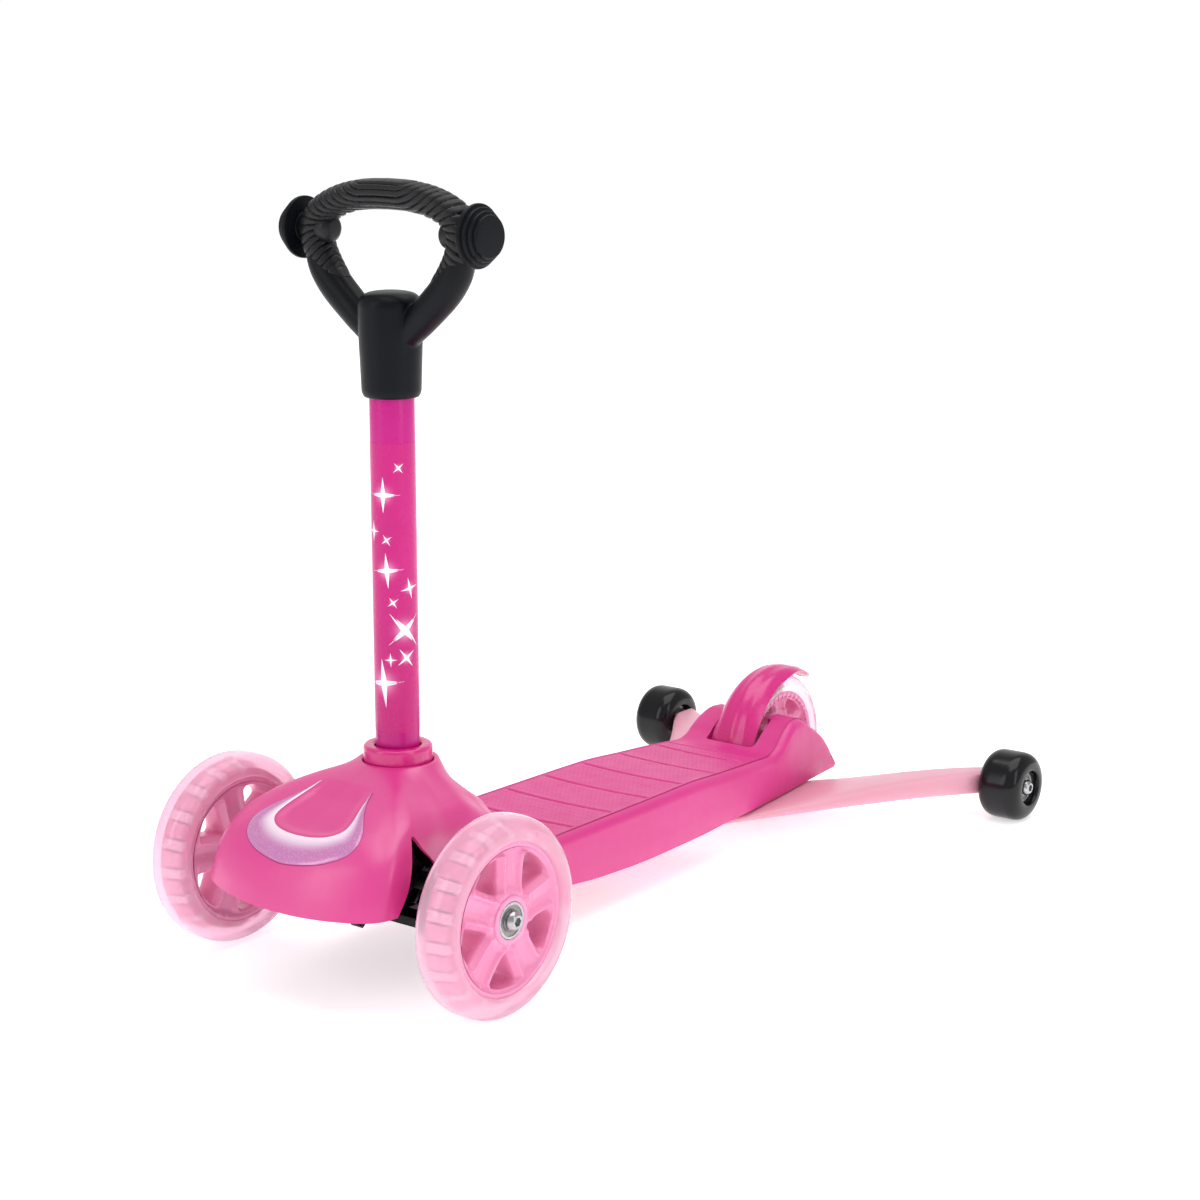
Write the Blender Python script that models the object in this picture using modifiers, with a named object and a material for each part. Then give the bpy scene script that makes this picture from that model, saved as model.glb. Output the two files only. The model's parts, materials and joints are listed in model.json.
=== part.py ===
"""A child's three-wheeled kick scooter with a turning loop handle and a pair of stabiliser wheels.

Metres, +Z up. The front faces -Y and the rider's left is +X. The origin lies on the ground under the
middle of the object. Lengths along the scooter are measured back from the front axle.
"""

import math

import bmesh
import bpy
from mathutils import Matrix, Vector

# ---- Driving dimensions -------------------------------------------------------------------------
GAP = 0.0003  # between pieces that touch
RUNNING = 0.0004  # round a shaft that turns in a hole

FRONT_RADIUS = 0.060
FRONT_WIDTH = 0.027
FRONT_TRACK = 0.215  # between the middles of the front wheels
REAR_RADIUS = 0.050
REAR_WIDTH = 0.023
REAR_AXLE = 0.444  # wheelbase
STABILISER_RADIUS = 0.025
STABILISER_WIDTH = 0.033
STABILISER_TRACK = 0.310
STABILISER_AXLE = REAR_AXLE + 0.080

BEARING_RADIUS = 0.011
BEARING_WIDTH = 0.007
BOLT_RADIUS = 0.004
BOLT_HEAD = 0.0062

COLUMN_AXIS = 0.037  # behind the front axle
TUBE_RADIUS = 0.0135
TUBE_WALL = 0.0013
TUBE_BOTTOM = 0.066
COLLAR_TOP = 0.137
COLLAR_RADIUS = TUBE_RADIUS + 0.0075
RIM_RADIUS = COLLAR_RADIUS + 0.0035
RIM_TOP = 0.1275

HANDLE_TOP = 0.4735
HUB_TOP = HANDLE_TOP - 0.0645
HUB_BOTTOM = HUB_TOP - 0.062
HUB_RADIUS = TUBE_RADIUS + 0.0056
HANDLE_HALF = 0.057  # from the middle of the loop to the middle of its side
GRIP_THICK = 0.018  # in the plane of the loop
GRIP_DEEP = 0.0235
CORE_THICK = 0.010
CORE_DEEP = 0.014
DISC_RADIUS = 0.0185
DISC_STEP = 0.0028

DECK_TOP = 0.0645
DECK_FRONT = 0.084
DECK_END = REAR_AXLE + 0.036
DECK_WALL = 0.004
SLOT_HALF = 0.0165  # half width of the wheel slot
SLOT_START = REAR_AXLE - REAR_RADIUS - 0.0030
POCKET_HALF = 0.0205
POCKET_START = SLOT_START - 0.0038
POCKET_END = SLOT_START + 0.0220

NOSE_REACH = 0.073
HOOD_HALF = 0.072
HOOD_WALL = 0.003

KINGPIN_X = 0.075
KINGPIN_RADIUS = 0.004
LINK_ARM = 0.022  # crank and knuckle arms, all the same so that the link stays square
LINK_BOTTOM = 0.0505
LINK_THICK = 0.004
LINK_PIN = 0.0025
PLATE_BOTTOM = 0.044
PLATE_THICK = 0.004
PLATE_HALF = 0.034
SHELF_BOTTOM = 0.058  # of the raised shelf under the nose

BRAKE_PIVOT = (SLOT_START - 0.0065, REAR_RADIUS - 0.0045)  # back from the front axle, and height
BRAKE_PIN = 0.0025
BRAKE_CLEAR = 0.0025  # between the lever and the tyre at rest
BRAKE_WALL = 0.0027
BRAKE_HUB = 0.0052
BRAKE_HUB_HALF = 0.0115

FINE = 20  # sides of a wheel
MEDIUM = 16
COARSE = 12

FRONT_Y = (NOSE_REACH - STABILISER_AXLE - STABILISER_RADIUS) / 2  # the front axle from the origin
WHEEL_X = FRONT_TRACK / 2
STABILISER_X = STABILISER_TRACK / 2

PINK = (0.77, 0.100, 0.330, 1)
DEEP_PINK = (0.70, 0.040, 0.240, 1)
PALE_PINK = (0.86, 0.48, 0.60, 1)
TYRE_PINK = (0.88, 0.52, 0.66, 1)
LAVENDER = (0.62, 0.38, 0.58, 1)
BLACK = (0.018, 0.018, 0.020, 1)
GREY = (0.045, 0.045, 0.050, 1)
STEEL = (0.60, 0.60, 0.61, 1)


# ---- Scene and small helpers --------------------------------------------------------------------
def clear_scene():
    for old in list(bpy.data.objects):
        bpy.data.objects.remove(old, do_unlink=True)


def make_collection(name):
    collection = bpy.data.collections.new(name)
    bpy.context.scene.collection.children.link(collection)
    return collection


def make_material(name, colour, roughness, metallic=0.0):
    material = bpy.data.materials.new(name)
    material.use_nodes = True
    shader = material.node_tree.nodes["Principled BSDF"]
    shader.inputs["Base Color"].default_value = colour
    shader.inputs["Roughness"].default_value = roughness
    shader.inputs["Metallic"].default_value = metallic
    material.diffuse_color = colour
    return material


def add_object(name, mesh, material=None, sharp=35):
    """A visible piece, or a hidden helper shape where no material is given."""
    obj = bpy.data.objects.new(name, mesh)
    if material:
        SCOOTER.objects.link(obj)
        mesh.materials.append(material)
        mesh.shade_smooth()
        mesh.set_sharp_from_angle(angle=math.radians(sharp))
    else:
        CUTTERS.objects.link(obj)
        obj.hide_render = True
        obj.display_type = "WIRE"
    return obj


def mesh_from(name, bm):
    bmesh.ops.recalc_face_normals(bm, faces=bm.faces)
    mesh = bpy.data.meshes.new(name)
    bm.to_mesh(mesh)
    bm.free()
    return mesh


def back(distance):
    """World Y of a place this far behind the front axle."""
    return FRONT_Y + distance


def box(name, low, high, material=None):
    """A block between two corners, whose Y is measured back from the front axle."""
    low, high = Vector(low), Vector(high)
    bm = bmesh.new()
    bmesh.ops.create_cube(bm, size=1, matrix=Matrix.Diagonal((*(high - low), 1)))
    obj = add_object(name, mesh_from(name, bm), material)
    centre = (low + high) / 2
    obj.location = (centre.x, back(centre.y), centre.z)
    return obj


AIM = {"X": (0, math.pi / 2, 0), "Y": (-math.pi / 2, 0, 0), "Z": (0, 0, 0)}


def rod(name, axis, centre, radius, start, end, sides=COARSE, material=None):
    """A cylinder or cone along an axis, from start to end on that axis."""
    bm = bmesh.new()
    bmesh.ops.create_cone(
        bm,
        cap_ends=True,
        segments=sides,
        radius1=radius,
        radius2=radius,
        depth=end - start,
        matrix=Matrix.Translation((0, 0, (start + end) / 2)) @ Matrix.Rotation(math.pi / sides, 4, "Z"),
    )
    obj = add_object(name, mesh_from(name, bm), material)
    obj.rotation_euler = AIM[axis]
    place_on_axis(obj, axis, centre)
    return obj


def place_on_axis(obj, axis, centre):
    """Centre is the two other coordinates: (Y, Z) for X, (X, Z) for Y and (X, Y) for Z."""
    if axis == "X":
        obj.location = (0, back(centre[0]), centre[1])
    elif axis == "Y":
        obj.location = (centre[0], FRONT_Y, centre[1])
    else:
        obj.location = (centre[0], back(centre[1]), 0)


def turned(name, axis, centre, profile, material, sides=MEDIUM, closed=False):
    """A profile of (radius, along) points, top to bottom down its outer side, turned about an axis."""
    bm = bmesh.new()
    turn = math.pi / sides
    points = [bm.verts.new((r * math.cos(turn), r * math.sin(turn), z)) for r, z in profile]
    pairs = list(zip(points, points[1:]))
    if closed:
        pairs.append((points[-1], points[0]))
    for pair in pairs:
        bm.edges.new(pair)
    mesh = bpy.data.meshes.new(name)
    bm.to_mesh(mesh)
    bm.free()
    obj = add_object(name, mesh, material)
    screw = obj.modifiers.new("turn", "SCREW")
    screw.steps = sides
    screw.render_steps = sides
    screw.use_merge_vertices = True
    screw.merge_threshold = 0.00001
    screw.use_smooth_shade = True
    obj.rotation_euler = AIM[axis]
    place_on_axis(obj, axis, centre)
    return obj


def ring(name, axis, centre, outer, inner, start, end, material, sides=MEDIUM, edge=0.0):
    """A bush, bearing or washer, with its outer edges eased."""
    profile = [
        (inner, end),
        (outer - edge, end),
        (outer, end - edge),
        (outer, start + edge),
        (outer - edge, start),
        (inner, start),
    ]
    if not edge:
        profile = [(inner, end), (outer, end), (outer, start), (inner, start)]
    return turned(name, axis, centre, profile, material, sides, closed=True)


def combine(obj, other, operation, solver="EXACT"):
    modifier = obj.modifiers.new(operation.lower(), "BOOLEAN")
    modifier.operation = operation
    modifier.solver = solver
    modifier.object = other
    return obj


def cut(obj, *others):
    for other in others:
        combine(obj, other, "DIFFERENCE")


def join(obj, *others):
    for other in others:
        combine(obj, other, "UNION")


def loft(name, sections, material=None, sharp=35):
    """A solid through rings of points, all with the same count."""
    bm = bmesh.new()
    rings = [[bm.verts.new(point) for point in section] for section in sections]
    for first, second in zip(rings, rings[1:]):
        for i in range(len(first)):
            j = (i + 1) % len(first)
            bm.faces.new((first[i], first[j], second[j], second[i]))
    bm.faces.new(rings[0])
    bm.faces.new(list(reversed(rings[-1])))
    return add_object(name, mesh_from(name, bm), material, sharp)


def prism(name, outline, low, high, material=None):
    """An outline of (x, y) points, y measured back from the front axle, raised from low to high."""
    return loft(name, [[(x, back(y), z) for x, y in outline] for z in (low, high)], material)


def between(value, table):
    """Straight-line interpolation in a table of (place, amount) pairs."""
    if value <= table[0][0]:
        return table[0][1]
    for (a, low), (b, high) in zip(table, table[1:]):
        if value <= b:
            return low + (high - low) * (value - a) / (b - a)
    return table[-1][1]


def sweep(name, path, thick, deep, material=None):
    """A tube of oval section along a path in the plane of the handle, as a mesh."""
    outline = bpy.data.curves.new(name + "_section", "CURVE")
    outline.dimensions = "2D"
    spline = outline.splines.new("POLY")
    spline.points.add(OVAL_SIDES - 1)
    for i, point in enumerate(spline.points):
        angle = 2 * math.pi * i / OVAL_SIDES
        point.co = (deep / 2 * math.cos(angle), thick / 2 * math.sin(angle), 0, 1)
    spline.use_cyclic_u = True
    section = bpy.data.objects.new(name + "_section", outline)
    curve = bpy.data.curves.new(name, "CURVE")
    curve.dimensions = "3D"
    curve.bevel_mode = "OBJECT"
    curve.bevel_object = section
    curve.use_fill_caps = True
    line = curve.splines.new("POLY")
    line.points.add(len(path) - 1)
    for point, (x, z) in zip(line.points, path):
        point.co = (x, 0, z, 1)
    guide = bpy.data.objects.new(name, curve)
    CUTTERS.objects.link(section)
    CUTTERS.objects.link(guide)
    bpy.context.view_layer.update()
    evaluated = guide.evaluated_get(bpy.context.evaluated_depsgraph_get())
    mesh = bpy.data.meshes.new_from_object(evaluated)
    bm = bmesh.new()
    bm.from_mesh(mesh)
    bmesh.ops.remove_doubles(bm, verts=bm.verts, dist=0.00001)
    bpy.data.objects.remove(guide)
    bpy.data.objects.remove(section)
    mesh.materials.clear()
    obj = add_object(name, mesh_from(name, bm), material)
    obj.location = (0, back(COLUMN_AXIS), 0)
    return obj


OVAL_SIDES = 8


# ---- Wheels -------------------------------------------------------------------------------------
def on_flat(radius, sides):
    """Radius of the corners of a wheel whose flats lie at the given radius."""
    return radius / math.cos(math.pi / sides)


def tyre(name, centre, x, radius, width, seat, material):
    """A tyre with a round tread, and a groove inside that the rim's flange fills."""
    half = width / 2
    shoulder = 0.0040
    tread = on_flat(radius, FINE)
    flange, flange_half = rim_flange(seat)
    profile = [
        (seat + GAP, x + half - shoulder),
        (seat + 0.003, x + half),
        (radius - 2 * shoulder, x + half),
        (radius - 0.0010, x + half - shoulder),
        (tread, x + half / 3),
        (tread, x - half / 3),
        (radius - 0.0010, x - half + shoulder),
        (radius - 2 * shoulder, x - half),
        (seat + 0.003, x - half),
        (seat + GAP, x - half + shoulder),
        (seat + GAP, x - flange_half - GAP),
        (flange + GAP, x - flange_half - GAP),
        (flange + GAP, x + flange_half + GAP),
        (seat + GAP, x + flange_half + GAP),
    ]
    return turned(name, "X", centre, profile, material, FINE, closed=True)


def rim_flange(seat):
    return seat + 0.005, 0.005


def wheel_core(name, centre, x, width, seat, hub_radius, hub_width, holes, material):
    """A moulded wheel: rim with a flange, thin web with openings, and a hub bored for two bearings."""
    half = width / 2 - 0.003
    web = width / 2 - 0.006
    flange, flange_half = rim_flange(seat)
    bore = BEARING_RADIUS + GAP
    hub = hub_width / 2
    inner = seat - 0.004
    profile = [
        (bore, x + hub),
        (hub_radius, x + hub),
        (hub_radius, x + web),
        (inner, x + web),
        (inner, x + half),
        (seat, x + half),
        (seat, x + flange_half),
        (flange, x + flange_half),
        (flange, x - flange_half),
        (seat, x - flange_half),
        (seat, x - half),
        (inner, x - half),
        (inner, x - web),
        (hub_radius, x - web),
        (hub_radius, x - hub),
        (bore, x - hub),
        (bore, x - hub + BEARING_WIDTH + GAP),
        (bore - 0.0025, x - hub + BEARING_WIDTH + GAP),
        (bore - 0.0025, x + hub - BEARING_WIDTH - GAP),
        (bore, x + hub - BEARING_WIDTH - GAP),
    ]
    core = turned(name, "X", centre, profile, material, FINE, closed=True)
    for n in range(holes):
        middle = 2 * math.pi * (n + 0.5) / holes
        spread = math.pi / holes
        near, far = hub_radius + 0.004, inner - 0.0015
        corners = [
            (near, middle - spread * 0.30),
            (near, middle + spread * 0.30),
            (far * 0.80, middle + spread * 0.66),
            (far, middle + spread * 0.50),
            (far, middle),
            (far, middle - spread * 0.50),
            (far * 0.80, middle - spread * 0.66),
        ]
        outline = [(back(centre[0]) + r * math.cos(a), centre[1] + r * math.sin(a)) for r, a in corners]
        opening = [[(x + side, y, z) for y, z in outline] for side in (-width, width)]
        cut(core, loft(f"{name}_opening_{n}", opening))
    return core


def bearing(name, centre, inner_face, side, material):
    """A ball bearing whose face nearest the middle of the scooter lies at inner_face."""
    start, end = sorted((side * inner_face, side * (inner_face + BEARING_WIDTH)))
    return ring(name, "X", centre, BEARING_RADIUS, BOLT_RADIUS + GAP, start, end, material, MEDIUM)


def domed_bolt(name, centre, start, end, side, material):
    """A button-headed bolt along X whose head is outside end."""
    head = 0.0042
    profile = [
        (0, end + head),
        (BOLT_HEAD * 0.55, end + head * 0.85),
        (BOLT_HEAD, end + head * 0.25),
        (BOLT_HEAD, end),
        (BOLT_RADIUS, end),
        (BOLT_RADIUS, start),
        (0, start),
    ]
    if side < 0:
        profile = [(r, -along) for r, along in reversed(profile)]
    return turned(name, "X", centre, profile, material, COARSE)


def front_wheel(label, side):
    centre = (0, FRONT_RADIUS)
    x = side * WHEEL_X
    hub_half = FRONT_WIDTH / 2 - 0.0015
    seat = 0.044
    tyre(f"front_tyre_{label}", centre, x, FRONT_RADIUS, FRONT_WIDTH, seat, MATERIALS["tyre"])
    wheel_core(
        f"front_wheel_core_{label}", centre, x, FRONT_WIDTH, seat, 0.0147, 2 * hub_half, 5, MATERIALS["core"]
    )
    outer = WHEEL_X + hub_half - BEARING_WIDTH
    inner = WHEEL_X - hub_half
    bearing(f"front_bearing_outer_{label}", centre, outer, side, MATERIALS["steel"])
    bearing(f"front_bearing_inner_{label}", centre, inner, side, MATERIALS["steel"])
    spacer = sorted((side * (inner + BEARING_WIDTH + GAP), side * (outer - GAP)))
    ring(
        f"front_spacer_{label}", "X", centre, 0.0060, BOLT_RADIUS + GAP, *spacer, MATERIALS["steel"], COARSE
    )
    start = KINGPIN_X + KINGPIN_RADIUS + 0.002
    domed_bolt(f"front_axle_bolt_{label}", centre, start, outer + BEARING_WIDTH + GAP, side, MATERIALS["steel"])


def rear_wheel():
    centre = (REAR_AXLE, REAR_RADIUS)
    hub_half = REAR_WIDTH / 2
    seat = 0.036
    tyre("rear_tyre", centre, 0, REAR_RADIUS, REAR_WIDTH, seat, MATERIALS["rear_tyre"])
    wheel_core("rear_wheel_core", centre, 0, REAR_WIDTH, seat, 0.0147, 2 * hub_half, 5, MATERIALS["core"])
    for label, side in SIDES:
        inner = hub_half - BEARING_WIDTH
        bearing(f"rear_bearing_{label}", centre, inner, side, MATERIALS["steel"])
        sleeve = sorted((side * (hub_half + GAP), side * (SLOT_HALF - GAP)))
        ring(
            f"rear_axle_sleeve_{label}",
            "X",
            centre,
            0.0065,
            BOLT_RADIUS + GAP,
            *sleeve,
            MATERIALS["steel"],
            COARSE,
        )
    rod("rear_axle", "X", centre, BOLT_RADIUS, -AXLE_HALF, AXLE_HALF, COARSE, MATERIALS["steel"])


AXLE_HALF = 0.0285


def stabiliser_wheel(label, side):
    centre = (STABILISER_AXLE, STABILISER_RADIUS)
    half = STABILISER_WIDTH / 2
    x = side * STABILISER_X
    tread = on_flat(STABILISER_RADIUS, MEDIUM)
    recess = 0.0130
    depth = 0.0045
    bore = BEARING_RADIUS + GAP
    seat = half - depth
    profile = [
        (recess, x + half),
        (STABILISER_RADIUS - 0.0075, x + half),
        (STABILISER_RADIUS - 0.0025, x + half - 0.0025),
        (tread, x + half - 0.0080),
        (tread, x - half + 0.0080),
        (STABILISER_RADIUS - 0.0025, x - half + 0.0025),
        (STABILISER_RADIUS - 0.0075, x - half),
        (recess, x - half),
        (recess, x - seat),
        (bore, x - seat),
        (bore, x - seat + BEARING_WIDTH + GAP),
        (bore - 0.0025, x - seat + BEARING_WIDTH + GAP),
        (bore - 0.0025, x + seat - BEARING_WIDTH - GAP),
        (bore, x + seat - BEARING_WIDTH - GAP),
        (bore, x + seat),
        (recess, x + seat),
    ]
    turned(f"stabiliser_wheel_{label}", "X", centre, profile, MATERIALS["black_rubber"], MEDIUM, closed=True)
    outer = STABILISER_X + seat - BEARING_WIDTH
    inner = STABILISER_X - seat
    bearing(f"stabiliser_bearing_outer_{label}", centre, outer, side, MATERIALS["steel"])
    bearing(f"stabiliser_bearing_inner_{label}", centre, inner, side, MATERIALS["steel"])
    start = BEAM_TIP - INSERT_LENGTH + 0.001
    domed_bolt(
        f"stabiliser_bolt_{label}", centre, start, outer + BEARING_WIDTH + GAP, side, MATERIALS["steel"]
    )
    insert = sorted((side * (BEAM_TIP - INSERT_LENGTH), side * (inner - GAP)))
    ring(
        f"stabiliser_insert_{label}",
        "X",
        centre,
        INSERT_RADIUS,
        BOLT_RADIUS + GAP,
        *insert,
        MATERIALS["steel"],
        COARSE,
    )


BEAM_TIP = STABILISER_X - STABILISER_WIDTH / 2 - 0.0015
INSERT_LENGTH = 0.016
INSERT_RADIUS = 0.0058


# ---- Deck ---------------------------------------------------------------------------------------
# Places along the deck and, for each, half its width, its top from DECK_TOP and its skirt's lower edge.
HALF_WIDTH = [
    (DECK_FRONT, 0.0540),
    (0.230, 0.0520),
    (REAR_AXLE - 0.111, 0.0480),
    (REAR_AXLE - 0.084, 0.0460),
    (REAR_AXLE - 0.044, 0.0420),
    (REAR_AXLE - 0.014, 0.0380),
    (DECK_END, 0.0325),
]
TOP_LINE = [
    (DECK_FRONT, 0.0),
    (REAR_AXLE - 0.174, 0.0),
    (REAR_AXLE - 0.128, -0.0025),
    (REAR_AXLE - 0.084, -0.0050),
    (REAR_AXLE - 0.060, -0.0065),
    (REAR_AXLE - 0.044, 0.0055),
    (REAR_AXLE - 0.028, 0.0125),
    (REAR_AXLE - 0.012, 0.0085),
    (REAR_AXLE + 0.004, -0.0005),
    (REAR_AXLE + 0.018, -0.0095),
    (REAR_AXLE + 0.028, -0.0205),
    (DECK_END, -0.0320),
]
SKIRT_LINE = [
    (DECK_FRONT, 0.0320),
    (0.132, 0.0300),
    (0.170, 0.0260),
    (REAR_AXLE / 2 + 0.003, 0.0245),
    (REAR_AXLE - 0.159, 0.0248),
    (REAR_AXLE - 0.114, 0.0262),
    (DECK_END, 0.0262),
]
FIRST_WALL = 0.168
LAST_WALL = REAR_AXLE - 0.104
WALL_SPACES = 3
TREAD_GROOVES = [0.126] + [0.150 + (REAR_AXLE - 0.242) * n / 5 for n in range(6)]
CHASSIS_SCREWS = ((-0.024, 0.104), (0.024, 0.104), (-0.024, 0.148), (0.024, 0.148))
BEAM_SCREWS = (REAR_AXLE - 0.128, REAR_AXLE - 0.082)
SCREW_RADIUS = 0.0022
BRAKE_PIN_HALF = 0.0265
BEAM_TOP = 0.0255


def deck_section(y, inset=0.0, floor=0.0, crown=0.0012):
    """One ring of the deck: flat top, rounded top edges and slightly drafted skirts."""
    half = between(y, HALF_WIDTH) - inset
    top = DECK_TOP + between(y, TOP_LINE) - inset
    bottom = between(y, SKIRT_LINE) - floor
    radius = min(0.008, 0.4 * (top - bottom))
    side = [(half - 0.001, bottom), (half, (top + bottom) / 2)]
    for n in range(4):
        turn = math.radians(30 * n)
        side.append((half - radius * (1 - math.cos(turn)), top - crown - radius * (1 - math.sin(turn))))
    side.append((half * 0.45, top))
    ring_points = side + [(-x, z) for x, z in reversed(side)]
    return [(x, back(y), z) for x, z in ring_points]


def deck():
    stations = sorted({y for table in (HALF_WIDTH, TOP_LINE, SKIRT_LINE) for y, _ in table})
    body = loft("deck", [deck_section(y) for y in stations], MATERIALS["pink"])
    walls = [FIRST_WALL + (LAST_WALL - FIRST_WALL) * n / WALL_SPACES for n in range(WALL_SPACES + 1)]
    starts = [DECK_FRONT + DECK_WALL] + [y + DECK_WALL / 2 for y in walls]
    ends = [y - DECK_WALL / 2 for y in walls] + [BRAKE_PIVOT[0] - BRAKE_HUB - 0.0050]
    for n, (start, end) in enumerate(zip(starts, ends)):
        rows = [start] + [y for y in stations if start < y < end] + [end]
        rings = [deck_section(y, inset=DECK_WALL, floor=0.010, crown=0) for y in rows]
        cut(body, loft(f"deck_pocket_{n}", rings))
    tongue_low = (-PLATE_HALF - 0.002, DECK_FRONT - 0.004, 0.0)
    tongue_high = (PLATE_HALF + 0.002, DECK_FRONT + 0.006, PLATE_BOTTOM + PLATE_THICK + 0.002)
    cut(body, box("tongue_room", tongue_low, tongue_high))
    for n, y in enumerate(TREAD_GROOVES):
        cut(body, tread_groove(n, y))
    wheel_slot = box("wheel_slot", (-SLOT_HALF, SLOT_START, 0), (SLOT_HALF, DECK_END + 0.01, 0.12))
    brake_pocket = box("brake_pocket", (-POCKET_HALF, POCKET_START, 0.030), (POCKET_HALF, POCKET_END, 0.12))
    hinge_low = (-POCKET_HALF, BRAKE_PIVOT[0] - BRAKE_HUB - 0.0010, 0.010)
    hinge_high = (POCKET_HALF, SLOT_START + 0.005, BRAKE_PIVOT[1] + BRAKE_HUB + 0.0010)
    for room in (wheel_slot, brake_pocket, box("hinge_room", hinge_low, hinge_high)):
        combine(body, room, "DIFFERENCE", "MANIFOLD")
    axle = rod(
        "rear_axle_bore", "X", (REAR_AXLE, REAR_RADIUS), BOLT_RADIUS + GAP, -AXLE_HALF - GAP, AXLE_HALF + GAP
    )
    drop = box(
        "rear_axle_way",
        (-AXLE_HALF - GAP, REAR_AXLE - BOLT_RADIUS - GAP, 0.0),
        (AXLE_HALF + GAP, REAR_AXLE + BOLT_RADIUS + GAP, REAR_RADIUS),
    )
    pin = rod("brake_pin_bore", "X", BRAKE_PIVOT, BRAKE_PIN + GAP, -BRAKE_PIN_HALF - GAP, BRAKE_PIN_HALF + GAP)
    cut(body, axle, drop, pin)
    for n, (x, y) in enumerate(CHASSIS_SCREWS):
        top = DECK_TOP - DECK_WALL + 0.001
        join(body, rod(f"deck_boss_{n}", "Z", (x, y), 0.0055, PLATE_BOTTOM + PLATE_THICK + GAP, top))
        cut(body, rod(f"deck_pilot_{n}", "Z", (x, y), SCREW_RADIUS + GAP, 0.0, DECK_TOP - 0.006, 12))
    for n, y in enumerate(BEAM_SCREWS):
        top = DECK_TOP + between(y, TOP_LINE) - DECK_WALL + 0.001
        join(body, rod(f"deck_beam_boss_{n}", "Z", (0, y), 0.0075, BEAM_TOP + GAP, top))
        cut(body, rod(f"deck_beam_pilot_{n}", "Z", (0, y), SCREW_RADIUS + GAP, 0.0, top - 0.006, 12))
    return body


def tread_groove(n, y):
    """A shallow groove across the deck, bowed towards the front."""
    top = DECK_TOP + between(y, TOP_LINE)
    reach = between(y, HALF_WIDTH) - 0.0055
    bow = 0.003
    width = 0.0022
    depth = 0.0011
    outline = []
    for side, edge in ((1, 0), (-1, width)):
        for step in (-1, -0.5, 0, 0.5, 1):
            x = side * step * reach
            outline.append((x, y + edge - bow * (1 - step * step)))
    return prism(f"tread_groove_{n}", outline, top - depth, top + 0.004)


def brake():
    """A curved pedal that hugs the tyre, hinged on a pin in the deck's pocket."""
    centre_y, centre_z = back(REAR_AXLE), REAR_RADIUS
    rings = []
    steps = 9
    for n in range(steps):
        share = n / (steps - 1)
        angle = math.radians(178 - 134 * share)
        crown = REAR_RADIUS + BRAKE_CLEAR + between(share, [(0, 0.0004), (0.7, 0.0), (1, 0.0055)])
        half = between(share, [(0, 0.0185), (0.4, 0.0165), (0.8, 0.0120), (1, 0.0070)])
        skirt = between(share, [(0, 0.0010), (0.25, 0.0075), (0.6, 0.0065), (0.8, 0.0018), (1, 0.0005)])
        shoulder, top = BRAKE_WALL * 0.75, BRAKE_WALL + 0.0008
        outer = [(-half, -skirt), (-half * 0.8, shoulder), (0, top), (half * 0.8, shoulder), (half, -skirt)]
        lip, corner = half - BRAKE_WALL * 0.70, half * 0.72
        inner = [(lip, -skirt), (corner, 0), (0, 0), (-corner, 0), (-lip, -skirt)]
        rings.append(
            [
                (x, centre_y + (crown + rise) * math.cos(angle), centre_z + (crown + rise) * math.sin(angle))
                for x, rise in outer + inner
            ]
        )
    lever = loft("brake_lever", rings, MATERIALS["pink"])
    hub = rod("brake_hub", "X", BRAKE_PIVOT, BRAKE_HUB, -BRAKE_HUB_HALF, BRAKE_HUB_HALF, COARSE)
    low = (-BRAKE_HUB_HALF + 0.0001, BRAKE_PIVOT[0] + 0.0036, BRAKE_PIVOT[1])
    high = (BRAKE_HUB_HALF - 0.0001, BRAKE_PIVOT[0] + 0.0070, BRAKE_PIVOT[1] + 0.0100)
    join(lever, box("brake_web", low, high), hub)
    cut(lever, rod("brake_hub_bore", "X", BRAKE_PIVOT, BRAKE_PIN + RUNNING, -0.03, 0.03))
    rod("brake_pin", "X", BRAKE_PIVOT, BRAKE_PIN, -BRAKE_PIN_HALF, BRAKE_PIN_HALF, COARSE, MATERIALS["steel"])
    brake_spring()


def brake_spring():
    """A torsion spring on the pin, beside the lever's hub."""
    turns = 3
    per_turn = 12
    radius = 0.0043
    wire = 0.0007
    start = BRAKE_HUB_HALF + 0.0018
    pitch = 0.0019
    curve = bpy.data.curves.new("brake_spring", "CURVE")
    curve.dimensions = "3D"
    curve.bevel_depth = wire
    curve.bevel_resolution = 1
    curve.use_fill_caps = True
    spline = curve.splines.new("POLY")
    count = turns * per_turn + 1
    spline.points.add(count - 1)
    for n, point in enumerate(spline.points):
        angle = 2 * math.pi * n / per_turn
        point.co = (start + pitch * n / per_turn, radius * math.cos(angle), radius * math.sin(angle), 1)
    obj = bpy.data.objects.new("brake_spring", curve)
    curve.materials.append(MATERIALS["steel"])
    SCOOTER.objects.link(obj)
    obj.location = (0, back(BRAKE_PIVOT[0]), BRAKE_PIVOT[1])


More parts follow.
